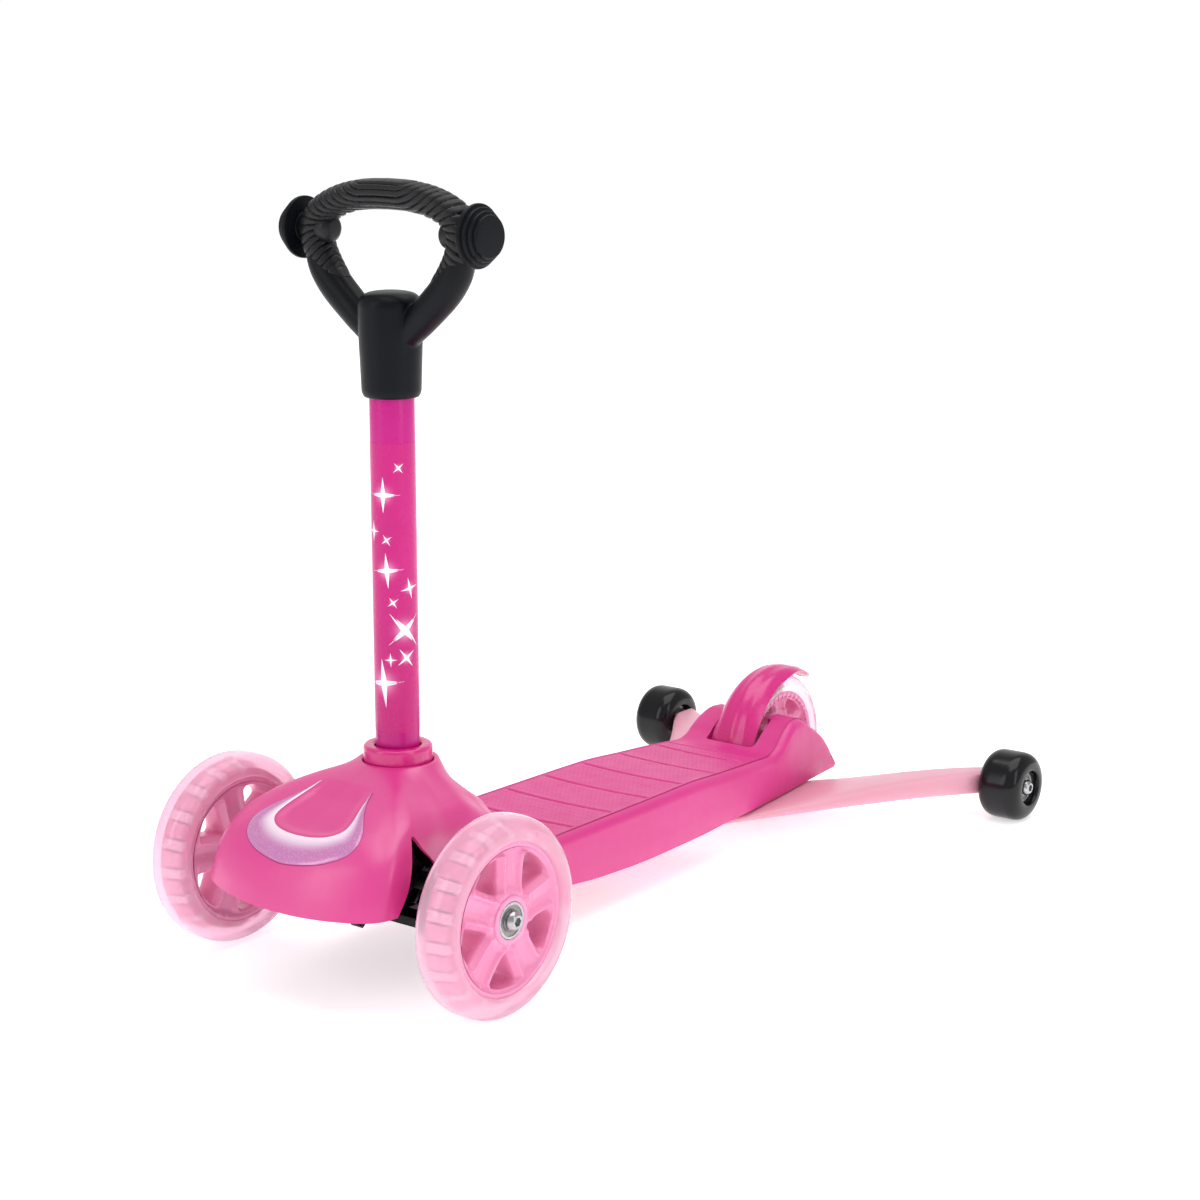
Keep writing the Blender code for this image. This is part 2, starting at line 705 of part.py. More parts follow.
# ---- Stabiliser beam ----------------------------------------------------------------------------
def stabiliser_beam():
    """A swept-back beam under the deck, with an arm to each stabiliser wheel."""
    half = BEAM_TIP
    front = [
        (0, -0.143),
        (0.018, -0.139),
        (0.045, -0.099),
        (0.080, -0.032),
        (0.110, 0.023),
        (half, 0.065),
    ]
    rear = [
        (0, -0.062),
        (0.019, -0.059),
        (0.028, -0.004),
        (0.045, 0.023),
        (0.080, 0.056),
        (0.110, 0.079),
        (half, 0.096),
    ]
    top = [(0, BEAM_TOP), (0.047, BEAM_TOP), (0.060, 0.0275), (0.080, 0.0300), (0.110, 0.0325), (half, 0.0335)]
    bottom = [(0, 0.0185), (0.045, 0.0175), (0.080, 0.0170), (half, 0.0165)]
    places = [0, 0.018, 0.024, 0.032, 0.045, 0.060, 0.080, 0.100, 0.120, half]
    places = [-x for x in reversed(places[1:])] + places
    rings = []
    for x in places:
        a, b = REAR_AXLE + between(abs(x), front), REAR_AXLE + between(abs(x), rear)
        high, low = between(abs(x), top), between(abs(x), bottom)
        middle = (high + low) / 2
        ease = 0.22 * (high - low)
        bevel = between(abs(x), [(0, 0.004), (0.045, 0.010), (half, 0.0065)])
        section = [
            (a, middle - ease),
            (a, middle + ease),
            (a + bevel, high),
            (b - bevel, high),
            (b, middle + ease),
            (b, middle - ease),
            (b - bevel, low),
            (a + bevel, low),
        ]
        rings.append([(x, back(y), z) for y, z in section])
    beam = loft("stabiliser_beam", rings, MATERIALS["pale_pink"], sharp=25)
    for label, side in SIDES:
        start, end = sorted((side * (half - INSERT_LENGTH - GAP), side * (half + 0.01)))
        centre = (STABILISER_AXLE, STABILISER_RADIUS)
        cut(beam, rod(f"insert_bore_{label}", "X", centre, INSERT_RADIUS + GAP, start, end))
    for n, y in enumerate(BEAM_SCREWS):
        cut(beam, rod(f"beam_hole_{n}", "Z", (0, y), SCREW_RADIUS + GAP, 0.0, 0.05, 12))
        cut(beam, rod(f"beam_counterbore_{n}", "Z", (0, y), SCREW_HEAD + GAP, 0.0, 0.0185 + 0.0030, 12))
        screw(f"beam_screw_{n + 1}", (0, y), 0.0185 + 0.0030 - GAP, 0.022)


SCREW_HEAD = 0.0042


def screw(name, centre, under_head, length):
    """A pan-headed screw from below."""
    profile = [
        (0, under_head + length),
        (SCREW_RADIUS, under_head + length - 0.002),
        (SCREW_RADIUS, under_head),
        (SCREW_HEAD, under_head),
        (SCREW_HEAD * 0.9, under_head - 0.0022),
        (0, under_head - 0.0026),
    ]
    return turned(name, "Z", centre, profile, MATERIALS["steel"], 12)


# ---- Hood ---------------------------------------------------------------------------------------
NOSE_PLAN = [
    (0.000, -0.0730),
    (0.020, -0.0718),
    (0.040, -0.0682),
    (0.058, -0.0622),
    (0.0685, -0.0550),
    (0.0715, -0.0460),
]
SIDE_PLAN = [
    (0.0690, -0.0290),
    (0.0650, -0.0100),
    (0.0608, 0.0150),
    (0.0588, 0.0500),
    (0.0582, 0.0900),
    (0.0500, 0.1070),
    (0.0260, 0.1122),
    (0.000, 0.1130),
]


def hood_outline():
    """Half of the hood's lower edge in plan, from the nose round to the rear."""
    scale = HOOD_HALF / 0.072
    reach = NOSE_REACH / 0.073
    return [(x * scale, y * reach if y < 0 else y) for x, y in NOSE_PLAN + SIDE_PLAN]


# Height above the lower edge as a share of the whole, at shares of the way out from the rim.
HOOD_SHAPES = (
    [
        (0, 1), (0.24, 0.885), (0.44, 0.77), (0.6, 0.675), (0.745, 0.6),
        (0.85, 0.475), (0.906, 0.378), (0.957, 0.2), (1, 0),
    ],
    [
        (0, 1), (0.22, 0.92), (0.41, 0.84), (0.55, 0.765), (0.715, 0.64),
        (0.84, 0.5), (0.91, 0.37), (0.97, 0.18), (1, 0),
    ],
    [
        (0, 1), (0.2, 0.93), (0.4, 0.87), (0.6, 0.815), (0.74, 0.77),
        (0.86, 0.7), (0.93, 0.62), (0.98, 0.45), (1, 0),
    ],
    [
        (0, 1), (0.13, 0.82), (0.28, 0.73), (0.43, 0.645), (0.51, 0.565),
        (0.6, 0.49), (0.8, 0.37), (0.93, 0.28), (1, 0),
    ],
)
HOOD_TURNS = [(0, 0), (25, 0.55), (37, 1), (49, 1.82), (60, 2), (90, 2), (120, 2.4), (150, 3), (180, 3)]


def hood_height(share, x, y):
    """Share of the full height at a point on the way from the rim to the place (x, y) of the lower edge."""
    place = between(math.degrees(math.atan2(x, COLUMN_AXIS - y)), HOOD_TURNS)
    low = min(int(place), len(HOOD_SHAPES) - 2)
    first, second = between(share, HOOD_SHAPES[low]), between(share, HOOD_SHAPES[low + 1])
    return first + (second - first) * (place - low)


HOOD_EDGE = [
    (-0.073, 0.0604),
    (-0.062, 0.0622),
    (-0.048, 0.0635),
    (-0.030, 0.0600),
    (0.000, 0.0480),
    (0.020, 0.0360),
    (0.113, 0.0360),
]


def hood_bottom(y):
    return between(y, HOOD_EDGE)


def hood_solid(name, inset=0.0, extend=0.0, material=None):
    """The hood's outer skin as a solid, drawn in by inset and carried down by extend."""
    half = hood_outline()
    outline = half + [(-x, y) for x, y in reversed(half[1:-1])]
    shares = (0.0, 0.15, 0.34, 0.53, 0.70, 0.83, 0.91, 0.97, 1.0)
    rings = []
    for share in shares:
        points = []
        for x, y in outline:
            angle = math.atan2(x, COLUMN_AXIS - y)
            rim_x, rim_y = RIM_RADIUS * math.sin(angle), COLUMN_AXIS - RIM_RADIUS * math.cos(angle)
            bottom = hood_bottom(y)
            height = bottom + (RIM_TOP - bottom) * hood_height(share, abs(x), y)
            out_x, out_y = rim_x + (x - rim_x) * share, rim_y + (y - rim_y) * share
            distance = math.hypot(out_x, COLUMN_AXIS - out_y)
            drawn = 1 - inset / distance
            lower = height - inset if share < 1 else bottom
            points.append((out_x * drawn, back(COLUMN_AXIS + (out_y - COLUMN_AXIS) * drawn), lower))
        rings.append(points)
    if extend:
        rings.append([(x, y, z - extend) for x, y, z in rings[-1]])
    return loft(name, rings, material, sharp=40)


def hood():
    shell = hood_solid("hood", material=MATERIALS["pink"])
    cut(shell, hood_solid("hood_hollow", inset=HOOD_WALL, extend=0.030))
    arch = [
        (-0.0490, 0.030),
        (-0.0465, 0.060),
        (-0.0400, 0.0665),
        (-0.0310, 0.0755),
        (-0.0250, 0.0920),
        (-0.0185, 0.1040),
        (-0.0120, 0.0950),
        (-0.0020, 0.0850),
        (0.0060, 0.0765),
        (0.0340, 0.0640),
        (0.0360, 0.030),
    ]
    for label, side in SIDES:
        rings = [[(side * x, back(y), z) for y, z in arch] for x in (0.046, 0.090)]
        cut(shell, loft(f"hood_arch_{label}", rings))
    cut(shell, rod("collar_seat", "Z", (0, COLUMN_AXIS), COLLAR_RADIUS + GAP, 0.09, 0.15, MEDIUM))
    stations = (DECK_FRONT - 0.002, 0.100, 0.125)
    rings = [deck_section(y, inset=-0.0004, floor=0.020) for y in stations]
    cut(shell, loft("deck_room", rings))
    for label, side in SIDES:
        centre = (side * HOOD_BOSS[0], HOOD_BOSS[1])
        join(shell, rod(f"hood_boss_{label}", "Z", centre, 0.0050, SHELF_BOTTOM + PLATE_THICK + GAP, 0.1045))
        cut(shell, rod(f"hood_pilot_{label}", "Z", centre, SCREW_RADIUS + GAP, 0.0, SHELF_BOTTOM + 0.022, 12))
        screw(f"hood_screw_{label}", centre, SHELF_BOTTOM - GAP, 0.018)
    recess = crescent("inlay_recess", 0.0008 + GAP, 0.060, 0.140)
    cut(recess, hood_solid("inlay_floor", inset=INLAY_DEPTH + GAP, extend=0.02))
    cut(shell, recess)
    inlay = crescent("hood_inlay", 0.0, 0.060, 0.140, MATERIALS["lavender"])
    combine(inlay, hood_solid("inlay_skin", inset=-0.0003, extend=0.02), "INTERSECT")
    cut(inlay, hood_solid("inlay_back", inset=INLAY_DEPTH, extend=0.02))


HOOD_BOSS = (0.027, -0.0385)
INLAY_DEPTH = 0.0012


def crescent(name, grow, low, high, material=None):
    """A crescent in plan, open towards the column, as an upright prism."""
    outer = [
        (0.0205, -0.008), (0.0245, -0.0166), (0.0292, -0.0245), (0.036, -0.033),
        (0.041, -0.0395), (0.0427, -0.0465), (0.04, -0.052), (0.032, -0.0575),
        (0.019, -0.0618), (0.0, -0.064),
    ]
    inner = [
        (0.0, -0.0512), (0.012, -0.0502), (0.021, -0.047), (0.0265, -0.042),
        (0.0278, -0.036), (0.026, -0.028), (0.0232, -0.019),
    ]
    outline = outer + [(-x, y) for x, y in reversed(outer[:-1])]
    outline += [(-x, y) for x, y in reversed(inner[1:])] + inner
    grown = []
    facing = 1 if polygon_area(outline) > 0 else -1
    for n, here in enumerate(outline):
        after = outline[(n + 1) % len(outline)]
        sides = [Vector(here) - Vector(outline[n - 1]), Vector(after) - Vector(here)]
        first, second = [Vector((side.y, -side.x)).normalized() * facing for side in sides]
        outward = (first + second) / max(1 + first.dot(second), 0.2)
        grown.append((here[0] + outward.x * grow, here[1] + outward.y * grow))
    return prism(name, grown, low, high, material)


def polygon_area(outline):
    pairs = zip(outline, outline[1:] + outline[:1])
    return sum(a[0] * b[1] - b[0] * a[1] for a, b in pairs) / 2


# ---- Front chassis and steering -----------------------------------------------------------------
def chassis():
    """The black truck: base plate, kingpin arms, webs and the tower that holds the column."""
    top = PLATE_BOTTOM + PLATE_THICK
    body = box(
        "front_chassis", (-PLATE_HALF, -0.0090, PLATE_BOTTOM), (PLATE_HALF, 0.160, top), MATERIALS["black"]
    )
    shelf_top = SHELF_BOTTOM + PLATE_THICK
    shelf = box("nose_shelf", (-PLATE_HALF, -0.0465, SHELF_BOTTOM), (PLATE_HALF, -0.0005, shelf_top))
    lower = box("lower_arms", (-KINGPIN_X, -0.0095, PLATE_BOTTOM), (KINGPIN_X, 0.0035, LUG_LOW))
    upper = box("upper_arms", (-KINGPIN_X, -0.0095, LUG_HIGH), (KINGPIN_X, 0.0035, LUG_TOP))
    deck_plate = box(
        "upper_plate", (-PLATE_HALF, -0.0090, LUG_HIGH + 0.0005), (PLATE_HALF, 0.0780, LUG_TOP + 0.003)
    )
    tower = rod("tower", "Z", (0, COLUMN_AXIS), TOWER_RADIUS, LUG_HIGH + 0.001, TOWER_TOP, MEDIUM)
    join(body, lower, upper, deck_plate, tower, shelf)
    for label, side in SIDES:
        x = side * KINGPIN_X
        join(body, rod(f"lower_lug_{label}", "Z", (x, 0), 0.0088, PLATE_BOTTOM + 0.0001, LUG_LOW + 0.0001))
        join(body, rod(f"upper_lug_{label}", "Z", (x, 0), 0.0088, LUG_HIGH - 0.0001, LUG_TOP + 0.0001))
        web = sorted((side * 0.0305, side * 0.0335))
        join(body, box(f"front_web_{label}", (web[0], -0.0085, top - 0.001), (web[1], 0.0030, LUG_HIGH + 0.002)))
        join(body, box(f"rear_web_{label}", (web[0], 0.0560, top - 0.001), (web[1], 0.0770, LUG_HIGH + 0.002)))
        cut(body, rod(f"kingpin_bore_{label}", "Z", (x, 0), KINGPIN_RADIUS + GAP, 0.03, 0.10))
        start, end = sorted((side * 0.0340, side * 0.0660))
        rib = box(f"arm_rib_{label}", (start, -0.0045, LUG_TOP - 0.001), (end, -0.0015, LUG_TOP + 0.004))
        join(body, rib)
    thrust = rod("thrust_boss", "Z", (0, COLUMN_AXIS), 0.0060, top - 0.001, CRANK_BOTTOM - GAP)
    join(body, thrust)
    cut(body, rod("column_bore", "Z", (0, COLUMN_AXIS), TUBE_RADIUS + 0.0010, TUBE_BOTTOM - 0.002, 0.15, MEDIUM))
    for n, (x, y) in enumerate(CHASSIS_SCREWS):
        cut(body, rod(f"plate_hole_{n}", "Z", (x, y), SCREW_RADIUS + GAP, 0.03, 0.06, 12))
        screw(f"chassis_screw_{n + 1}", (x, y), PLATE_BOTTOM - GAP, 0.013)
    for label, side in SIDES:
        centre = (side * HOOD_BOSS[0], HOOD_BOSS[1])
        cut(body, rod(f"hood_hole_{label}", "Z", centre, SCREW_RADIUS + GAP, 0.03, 0.07, 12))


LUG_LOW = 0.0495
LUG_HIGH = 0.0685
LUG_TOP = 0.0730
TOWER_RADIUS = TUBE_RADIUS + 0.0050
TOWER_TOP = 0.1165
CRANK_BOTTOM = 0.0560


def column():
    """The tube, the crank at its foot and the collar that closes the hood."""
    centre = (0, COLUMN_AXIS)
    ring(
        "steering_column",
        "Z",
        centre,
        TUBE_RADIUS,
        TUBE_RADIUS - TUBE_WALL,
        TUBE_BOTTOM,
        HUB_TOP - 0.014,
        MATERIALS["deep_pink"],
    )
    crank = rod("steering_crank", "Z", centre, TUBE_RADIUS, CRANK_BOTTOM, TUBE_BOTTOM - GAP, MEDIUM, MATERIALS["black"])
    plug_radius = TUBE_RADIUS - TUBE_WALL - GAP
    plug = rod("crank_plug", "Z", centre, plug_radius, TUBE_BOTTOM - 0.001, TUBE_BOTTOM + 0.028, MEDIUM)
    pin_y = COLUMN_AXIS + LINK_ARM
    arm = box("crank_arm", (-0.0050, COLUMN_AXIS, CRANK_BOTTOM + 0.0001), (0.0050, pin_y, CRANK_BOTTOM + 0.005))
    eye = rod("crank_eye", "Z", (0, pin_y), 0.0050, CRANK_BOTTOM + 0.0002, CRANK_BOTTOM + 0.0051)
    pin = rod("crank_pin", "Z", (0, pin_y), LINK_PIN, LINK_BOTTOM - 0.0005, CRANK_BOTTOM + 0.002)
    join(crank, plug, arm, eye, pin)
    collar_start = TOWER_TOP + GAP
    edge = 0.0035
    inner = TUBE_RADIUS + 0.0015
    profile = [
        (inner, COLLAR_TOP - 0.001),
        (inner + 0.001, COLLAR_TOP),
        (COLLAR_RADIUS - edge, COLLAR_TOP),
        (COLLAR_RADIUS - 0.3 * edge, COLLAR_TOP - 0.3 * edge),
        (COLLAR_RADIUS, COLLAR_TOP - edge),
        (COLLAR_RADIUS, RIM_TOP - 0.001),
        (COLLAR_RADIUS - 0.0006, collar_start),
        (inner, collar_start),
    ]
    turned("column_collar", "Z", centre, profile, MATERIALS["deep_pink"], MEDIUM, closed=True)


def knuckle(label, side):
    """A steering knuckle: sleeve on the kingpin, boss for the wheel bolt and rearward arm."""
    x = side * KINGPIN_X
    low, high = LUG_LOW + RUNNING, LUG_HIGH - RUNNING
    body = rod(f"steering_knuckle_{label}", "Z", (x, 0), 0.0085, low, high, COARSE, MATERIALS["black"])
    end = WHEEL_X - FRONT_WIDTH / 2 + 0.0015 - GAP
    start, stop = sorted((side * (KINGPIN_X + 0.001), side * (end - 0.0030)))
    boss = rod(f"wheel_boss_{label}", "X", (0, FRONT_RADIUS), 0.0078, start, stop)
    start, stop = sorted((side * (KINGPIN_X + 0.002), side * end))
    nose = rod(f"wheel_boss_nose_{label}", "X", (0, FRONT_RADIUS), 0.0062, start, stop)
    arm = box(
        f"knuckle_arm_{label}",
        (x - 0.0045, 0.0, CRANK_BOTTOM + 0.0001),
        (x + 0.0045, LINK_ARM, CRANK_BOTTOM + 0.005),
    )
    eye = rod(f"knuckle_eye_{label}", "Z", (x, LINK_ARM), 0.0050, CRANK_BOTTOM + 0.0002, CRANK_BOTTOM + 0.0051)
    pin = rod(f"knuckle_pin_{label}", "Z", (x, LINK_ARM), LINK_PIN, LINK_BOTTOM - 0.0005, CRANK_BOTTOM + 0.002)
    join(body, boss, nose, arm, eye, pin)
    cut(body, rod(f"knuckle_bore_{label}", "Z", (x, 0), KINGPIN_RADIUS + RUNNING, 0.03, 0.09))
    start = KINGPIN_X + KINGPIN_RADIUS + 0.002 - GAP
    limits = sorted((side * start, side * (end + 0.01)))
    cut(body, rod(f"bolt_bore_{label}", "X", (0, FRONT_RADIUS), BOLT_RADIUS + GAP, *limits))
    profile = [
        (0, LUG_TOP + 0.0042),
        (0.0050, LUG_TOP + 0.0038),
        (0.0065, LUG_TOP + 0.0026),
        (0.0065, LUG_TOP + GAP + 0.0001),
        (KINGPIN_RADIUS, LUG_TOP + GAP + 0.0001),
        (KINGPIN_RADIUS, PLATE_BOTTOM - 0.001),
        (0, PLATE_BOTTOM - 0.001),
    ]
    turned(f"kingpin_{label}", "Z", (x, 0), profile, MATERIALS["steel"], COARSE)


def tie_link():
    """A flat link that joins the crank and both knuckle arms, with room round the thrust boss."""
    bottom, top = LINK_BOTTOM, LINK_BOTTOM + LINK_THICK
    reach = KINGPIN_X
    link = box("tie_link", (-reach, LINK_ARM - 0.0050, bottom), (reach, LINK_ARM + 0.0050, top), MATERIALS["black"])
    frame = rod("link_frame", "Z", (0, COLUMN_AXIS), 0.0205, bottom + 0.0001, top - 0.0001, MEDIUM)
    join(link, frame)
    eyes = [(0, COLUMN_AXIS + LINK_ARM), (-reach, LINK_ARM), (reach, LINK_ARM)]
    for n, centre in enumerate(eyes):
        join(link, rod(f"link_eye_{n}", "Z", centre, 0.0056, bottom + 0.0002, top - 0.0002))
        cut(link, rod(f"link_hole_{n}", "Z", centre, LINK_PIN + RUNNING, 0.03, 0.08))
    cut(link, rod("link_window", "Z", (0, COLUMN_AXIS), 0.0155, 0.03, 0.08, MEDIUM))


# ---- Handle -------------------------------------------------------------------------------------
def loop_path():
    """Right half of the loop in (x, z), from the top middle down to the hub."""
    middle_top = HANDLE_TOP - GRIP_THICK / 2
    return [
        (0.0, middle_top),
        (HANDLE_HALF * 0.28, middle_top - 0.0006),
        (HANDLE_HALF * 0.54, middle_top - 0.0028),
        (HANDLE_HALF * 0.77, middle_top - 0.0070),
        (HANDLE_HALF - 0.0040, middle_top - 0.0125),
        (HANDLE_HALF, middle_top - 0.0205),
        (HANDLE_HALF - 0.0005, middle_top - 0.0290),
        (HANDLE_HALF - 0.0050, middle_top - 0.0390),
        (HANDLE_HALF * 0.72, middle_top - 0.0540),
        (HANDLE_HALF * 0.44, middle_top - 0.0690),
        (HANDLE_HALF * 0.11, middle_top - 0.0860),
    ]


GRIP_END = 0.5  # how far the grip runs down the arm, as a share of its lower straight


def handle():
    half = loop_path()
    whole = [(-x, z) for x, z in reversed(half[1:])] + half
    hub_profile = [
        (0, HUB_TOP),
        (HUB_RADIUS * 0.55, HUB_TOP - 0.0010),
        (HUB_RADIUS * 0.92, HUB_TOP - 0.0040),
        (HUB_RADIUS, HUB_TOP - 0.0085),
        (HUB_RADIUS - 0.0008, HUB_TOP - 0.030),
        (HUB_RADIUS - 0.0018, HUB_BOTTOM + 0.002),
        (HUB_RADIUS - 0.0035, HUB_BOTTOM),
        (0, HUB_BOTTOM),
    ]
    frame = turned("handle_frame", "Z", (0, COLUMN_AXIS), hub_profile, MATERIALS["black"], MEDIUM)
    (x0, z0), (x1, z1) = half[-4], half[-3]
    split = (x0 + (x1 - x0) * GRIP_END, z0 + (z1 - z0) * GRIP_END)
    for label, side in SIDES:
        low = [(side * x, z) for x, z in [split] + half[-3:]]
        join(frame, sweep(f"handle_arm_{label}", low, GRIP_THICK, GRIP_DEEP * 0.84))
    join(frame, sweep("handle_core", whole, CORE_THICK, CORE_DEEP))
    centre = (0, COLUMN_AXIS)
    cut(frame, rod("tube_socket", "Z", centre, TUBE_RADIUS + GAP, HUB_BOTTOM - 0.01, HUB_TOP - 0.0135, MEDIUM))
    shortened = (split[0] + (x0 - x1) * 0.02, split[1] + (z0 - z1) * 0.02)
    grip_half = half[:-3] + [shortened]
    grip_path = [(-x, z) for x, z in reversed(grip_half[1:])] + grip_half
    grip = sweep("handle_grip", grip_path, GRIP_THICK, GRIP_DEEP, MATERIALS["grip"])
    cut(grip, sweep("grip_bore", whole, CORE_THICK + 4 * GAP, CORE_DEEP + 4 * GAP))
    end_discs(half)
    handle_screw(frame)


def end_discs(half):
    """A stepped stack of discs on each side of the loop, held by a stud from the core."""
    centre_z = half[5][1] - 0.0010
    start = HANDLE_HALF + GRIP_THICK / 2 + GAP
    for label, side in SIDES:
        profile = []
        for n in range(4):
            radius = DISC_RADIUS - 0.002 * n
            profile += [(radius, start + DISC_STEP * n), (radius, start + DISC_STEP * (n + 1))]
        profile = [(0, start)] + profile + [(0, start + DISC_STEP * 4)]
        if side > 0:
            profile = list(reversed(profile))
        profile = [(r, side * along) for r, along in profile]
        turned(f"end_disc_{label}", "X", (COLUMN_AXIS, centre_z), profile, MATERIALS["black"], MEDIUM)


def handle_screw(frame):
    """The screw behind the hub that holds the handle on the tube."""
    height = HUB_BOTTOM + 0.022
    seat = COLUMN_AXIS + HUB_RADIUS - 0.003
    start, end = COLUMN_AXIS + TUBE_RADIUS - 0.0005, COLUMN_AXIS + HUB_RADIUS + 0.005
    cut(frame, rod("screw_head_room", "Y", (0, height), SCREW_HEAD + GAP, seat, end, 12))
    cut(frame, rod("screw_hole", "Y", (0, height), SCREW_RADIUS + GAP, start, end, 12))
    head_end = seat + GAP + 0.0024
    profile = [
        (0, head_end),
        (SCREW_HEAD * 0.9, head_end - 0.0003),
        (SCREW_HEAD, seat + GAP),
        (SCREW_RADIUS, seat + GAP),
        (SCREW_RADIUS, COLUMN_AXIS + TUBE_RADIUS + GAP),
        (0, COLUMN_AXIS + TUBE_RADIUS + GAP),
    ]
    turned("handle_screw", "Y", (0, height), profile, MATERIALS["steel"], 12)


# ---- Assembly -----------------------------------------------------------------------------------
clear_scene()
SCOOTER = make_collection("kick_scooter")
CUTTERS = make_collection("cutters")
SIDES = (("left", 1), ("right", -1))
MATERIALS = {
    "pink": make_material("pink_plastic", PINK, 0.38),
    "deep_pink": make_material("deep_pink", DEEP_PINK, 0.22),
    "pale_pink": make_material("pale_pink_plastic", PALE_PINK, 0.35),
    "tyre": make_material("pink_tyre", TYRE_PINK, 0.25),
    "rear_tyre": make_material("clear_tyre", (0.90, 0.66, 0.76, 1), 0.20),
    "core": make_material("wheel_core", (0.84, 0.32, 0.52, 1), 0.35),
    "lavender": make_material("lavender_inlay", LAVENDER, 0.25),
    "black": make_material("black_plastic", BLACK, 0.45),
    "black_rubber": make_material("black_rubber", GREY, 0.30),
    "grip": make_material("grip_rubber", GREY, 0.65),
    "steel": make_material("plated_steel", STEEL, 0.30, 1.0),
}
deck()
hood()
chassis()
column()
tie_link()
for wheel_label, wheel_side in SIDES:
    knuckle(wheel_label, wheel_side)
    front_wheel(wheel_label, wheel_side)
    stabiliser_wheel(wheel_label, wheel_side)
stabiliser_beam()
rear_wheel()
brake()
handle()
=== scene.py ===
"""Looks of a child's three-wheeled kick scooter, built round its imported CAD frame.

Shapes are drawn in millimetres with the front axle's middle as the origin of X and Y, and the ground
as the origin of Z. The place of the front axle is read from the frame.
"""

import json
import math

import bmesh
import bpy
import numpy as np
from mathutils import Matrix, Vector


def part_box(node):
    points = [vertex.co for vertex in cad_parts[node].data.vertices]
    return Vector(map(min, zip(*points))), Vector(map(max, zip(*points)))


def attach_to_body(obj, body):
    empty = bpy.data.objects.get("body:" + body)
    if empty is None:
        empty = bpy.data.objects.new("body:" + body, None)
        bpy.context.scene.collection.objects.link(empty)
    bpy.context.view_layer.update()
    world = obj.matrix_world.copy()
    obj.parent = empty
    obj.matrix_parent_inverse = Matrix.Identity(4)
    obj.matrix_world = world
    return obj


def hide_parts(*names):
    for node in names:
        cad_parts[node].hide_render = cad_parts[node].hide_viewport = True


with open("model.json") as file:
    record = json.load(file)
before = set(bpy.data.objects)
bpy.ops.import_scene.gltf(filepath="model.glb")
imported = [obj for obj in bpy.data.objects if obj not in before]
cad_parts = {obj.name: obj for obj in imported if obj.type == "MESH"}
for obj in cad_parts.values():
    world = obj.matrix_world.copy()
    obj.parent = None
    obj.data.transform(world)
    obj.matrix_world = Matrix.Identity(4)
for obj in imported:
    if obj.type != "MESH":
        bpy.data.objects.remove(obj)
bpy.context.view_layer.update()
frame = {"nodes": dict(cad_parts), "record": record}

MM = 0.001
SIDES = (("left", 1), ("right", -1))


def node_box(name):
    """Corners of a CAD node in millimetres, in the row frame."""
    low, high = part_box(name)
    return np.array(low) / MM, np.array(high) / MM


def node_centre(name):
    low, high = node_box(name)
    return (low + high) / 2


def node_span(name):
    """The distances from the middle plane at which a node on one side starts and ends."""
    low, high = node_box(name)
    return sorted((abs(low[0]), abs(high[0])))


FRONT_Y = node_centre("front_tyre_left")[1]


# ---- Curves and point helpers -------------------------------------------------------------------
def smooth_table(table):
    """A smooth curve through (place, amount) pairs that never overshoots them."""
    xs, ys = np.array(table, float).T
    widths = np.diff(xs)
    slopes = np.diff(ys) / widths
    ends = np.zeros(len(xs))
    ends[0], ends[-1] = slopes[0], slopes[-1]
    for k in range(1, len(xs) - 1):
        if slopes[k - 1] * slopes[k] > 0:
            first = 2 * widths[k] + widths[k - 1]
            second = widths[k] + 2 * widths[k - 1]
            ends[k] = (first + second) / (first / slopes[k - 1] + second / slopes[k])

    def value(x):
        x = np.clip(x, xs[0], xs[-1])
        i = np.clip(np.searchsorted(xs, x) - 1, 0, len(widths) - 1)
        t = (x - xs[i]) / widths[i]
        return (
            (1 + 2 * t) * (1 - t) ** 2 * ys[i]
            + t * (1 - t) ** 2 * widths[i] * ends[i]
            + t * t * (3 - 2 * t) * ys[i + 1]
            + t * t * (t - 1) * widths[i] * ends[i + 1]
        )

    return value


def spline(points, steps=8, closed=False):
    """Points of a smooth curve through the given points."""
    points = [np.array(p, float) for p in points]
    count = len(points)
    found = []
    for i in range(count if closed else count - 1):
        if closed:
            a, b, c, d = (points[(i + k) % count] for k in (-1, 0, 1, 2))
        else:
            b, c = points[i], points[i + 1]
            a = points[i - 1] if i else 2 * b - c
            d = points[i + 2] if i + 2 < count else 2 * c - b
        for step in range(steps):
            t = step / steps
            curve = (2 * a - 5 * b + 4 * c - d) * t**2 + (3 * b - a - 3 * c + d) * t**3
            found.append(0.5 * (2 * b + (c - a) * t + curve))
    if not closed:
        found.append(points[-1])
    return found


def rounded(points, radius, steps=4, closed=False):
    """A polyline with its corners eased. Radius is one length, or one for each point."""
    count = len(points)
    radii = [radius] * count if np.isscalar(radius) else radius
    found = []
    for i, here in enumerate(points):
        here = np.array(here, float)
        if radii[i] <= 0 or (not closed and i in (0, count - 1)):
            found.append(tuple(here))
            continue
        before = np.array(points[i - 1], float) - here
        after = np.array(points[(i + 1) % count], float) - here
        reach = min(radii[i], 0.49 * np.linalg.norm(before), 0.49 * np.linalg.norm(after))
        start = here + before / max(np.linalg.norm(before), 1e-9) * reach
        end = here + after / max(np.linalg.norm(after), 1e-9) * reach
        for step in range(steps + 1):
            t = step / steps
            found.append(tuple((1 - t) ** 2 * start + 2 * t * (1 - t) * here + t * t * end))
    return found


def smoothstep(low, high, x):
    t = np.clip((x - low) / (high - low), 0, 1)
    return t * t * (3 - 2 * t)


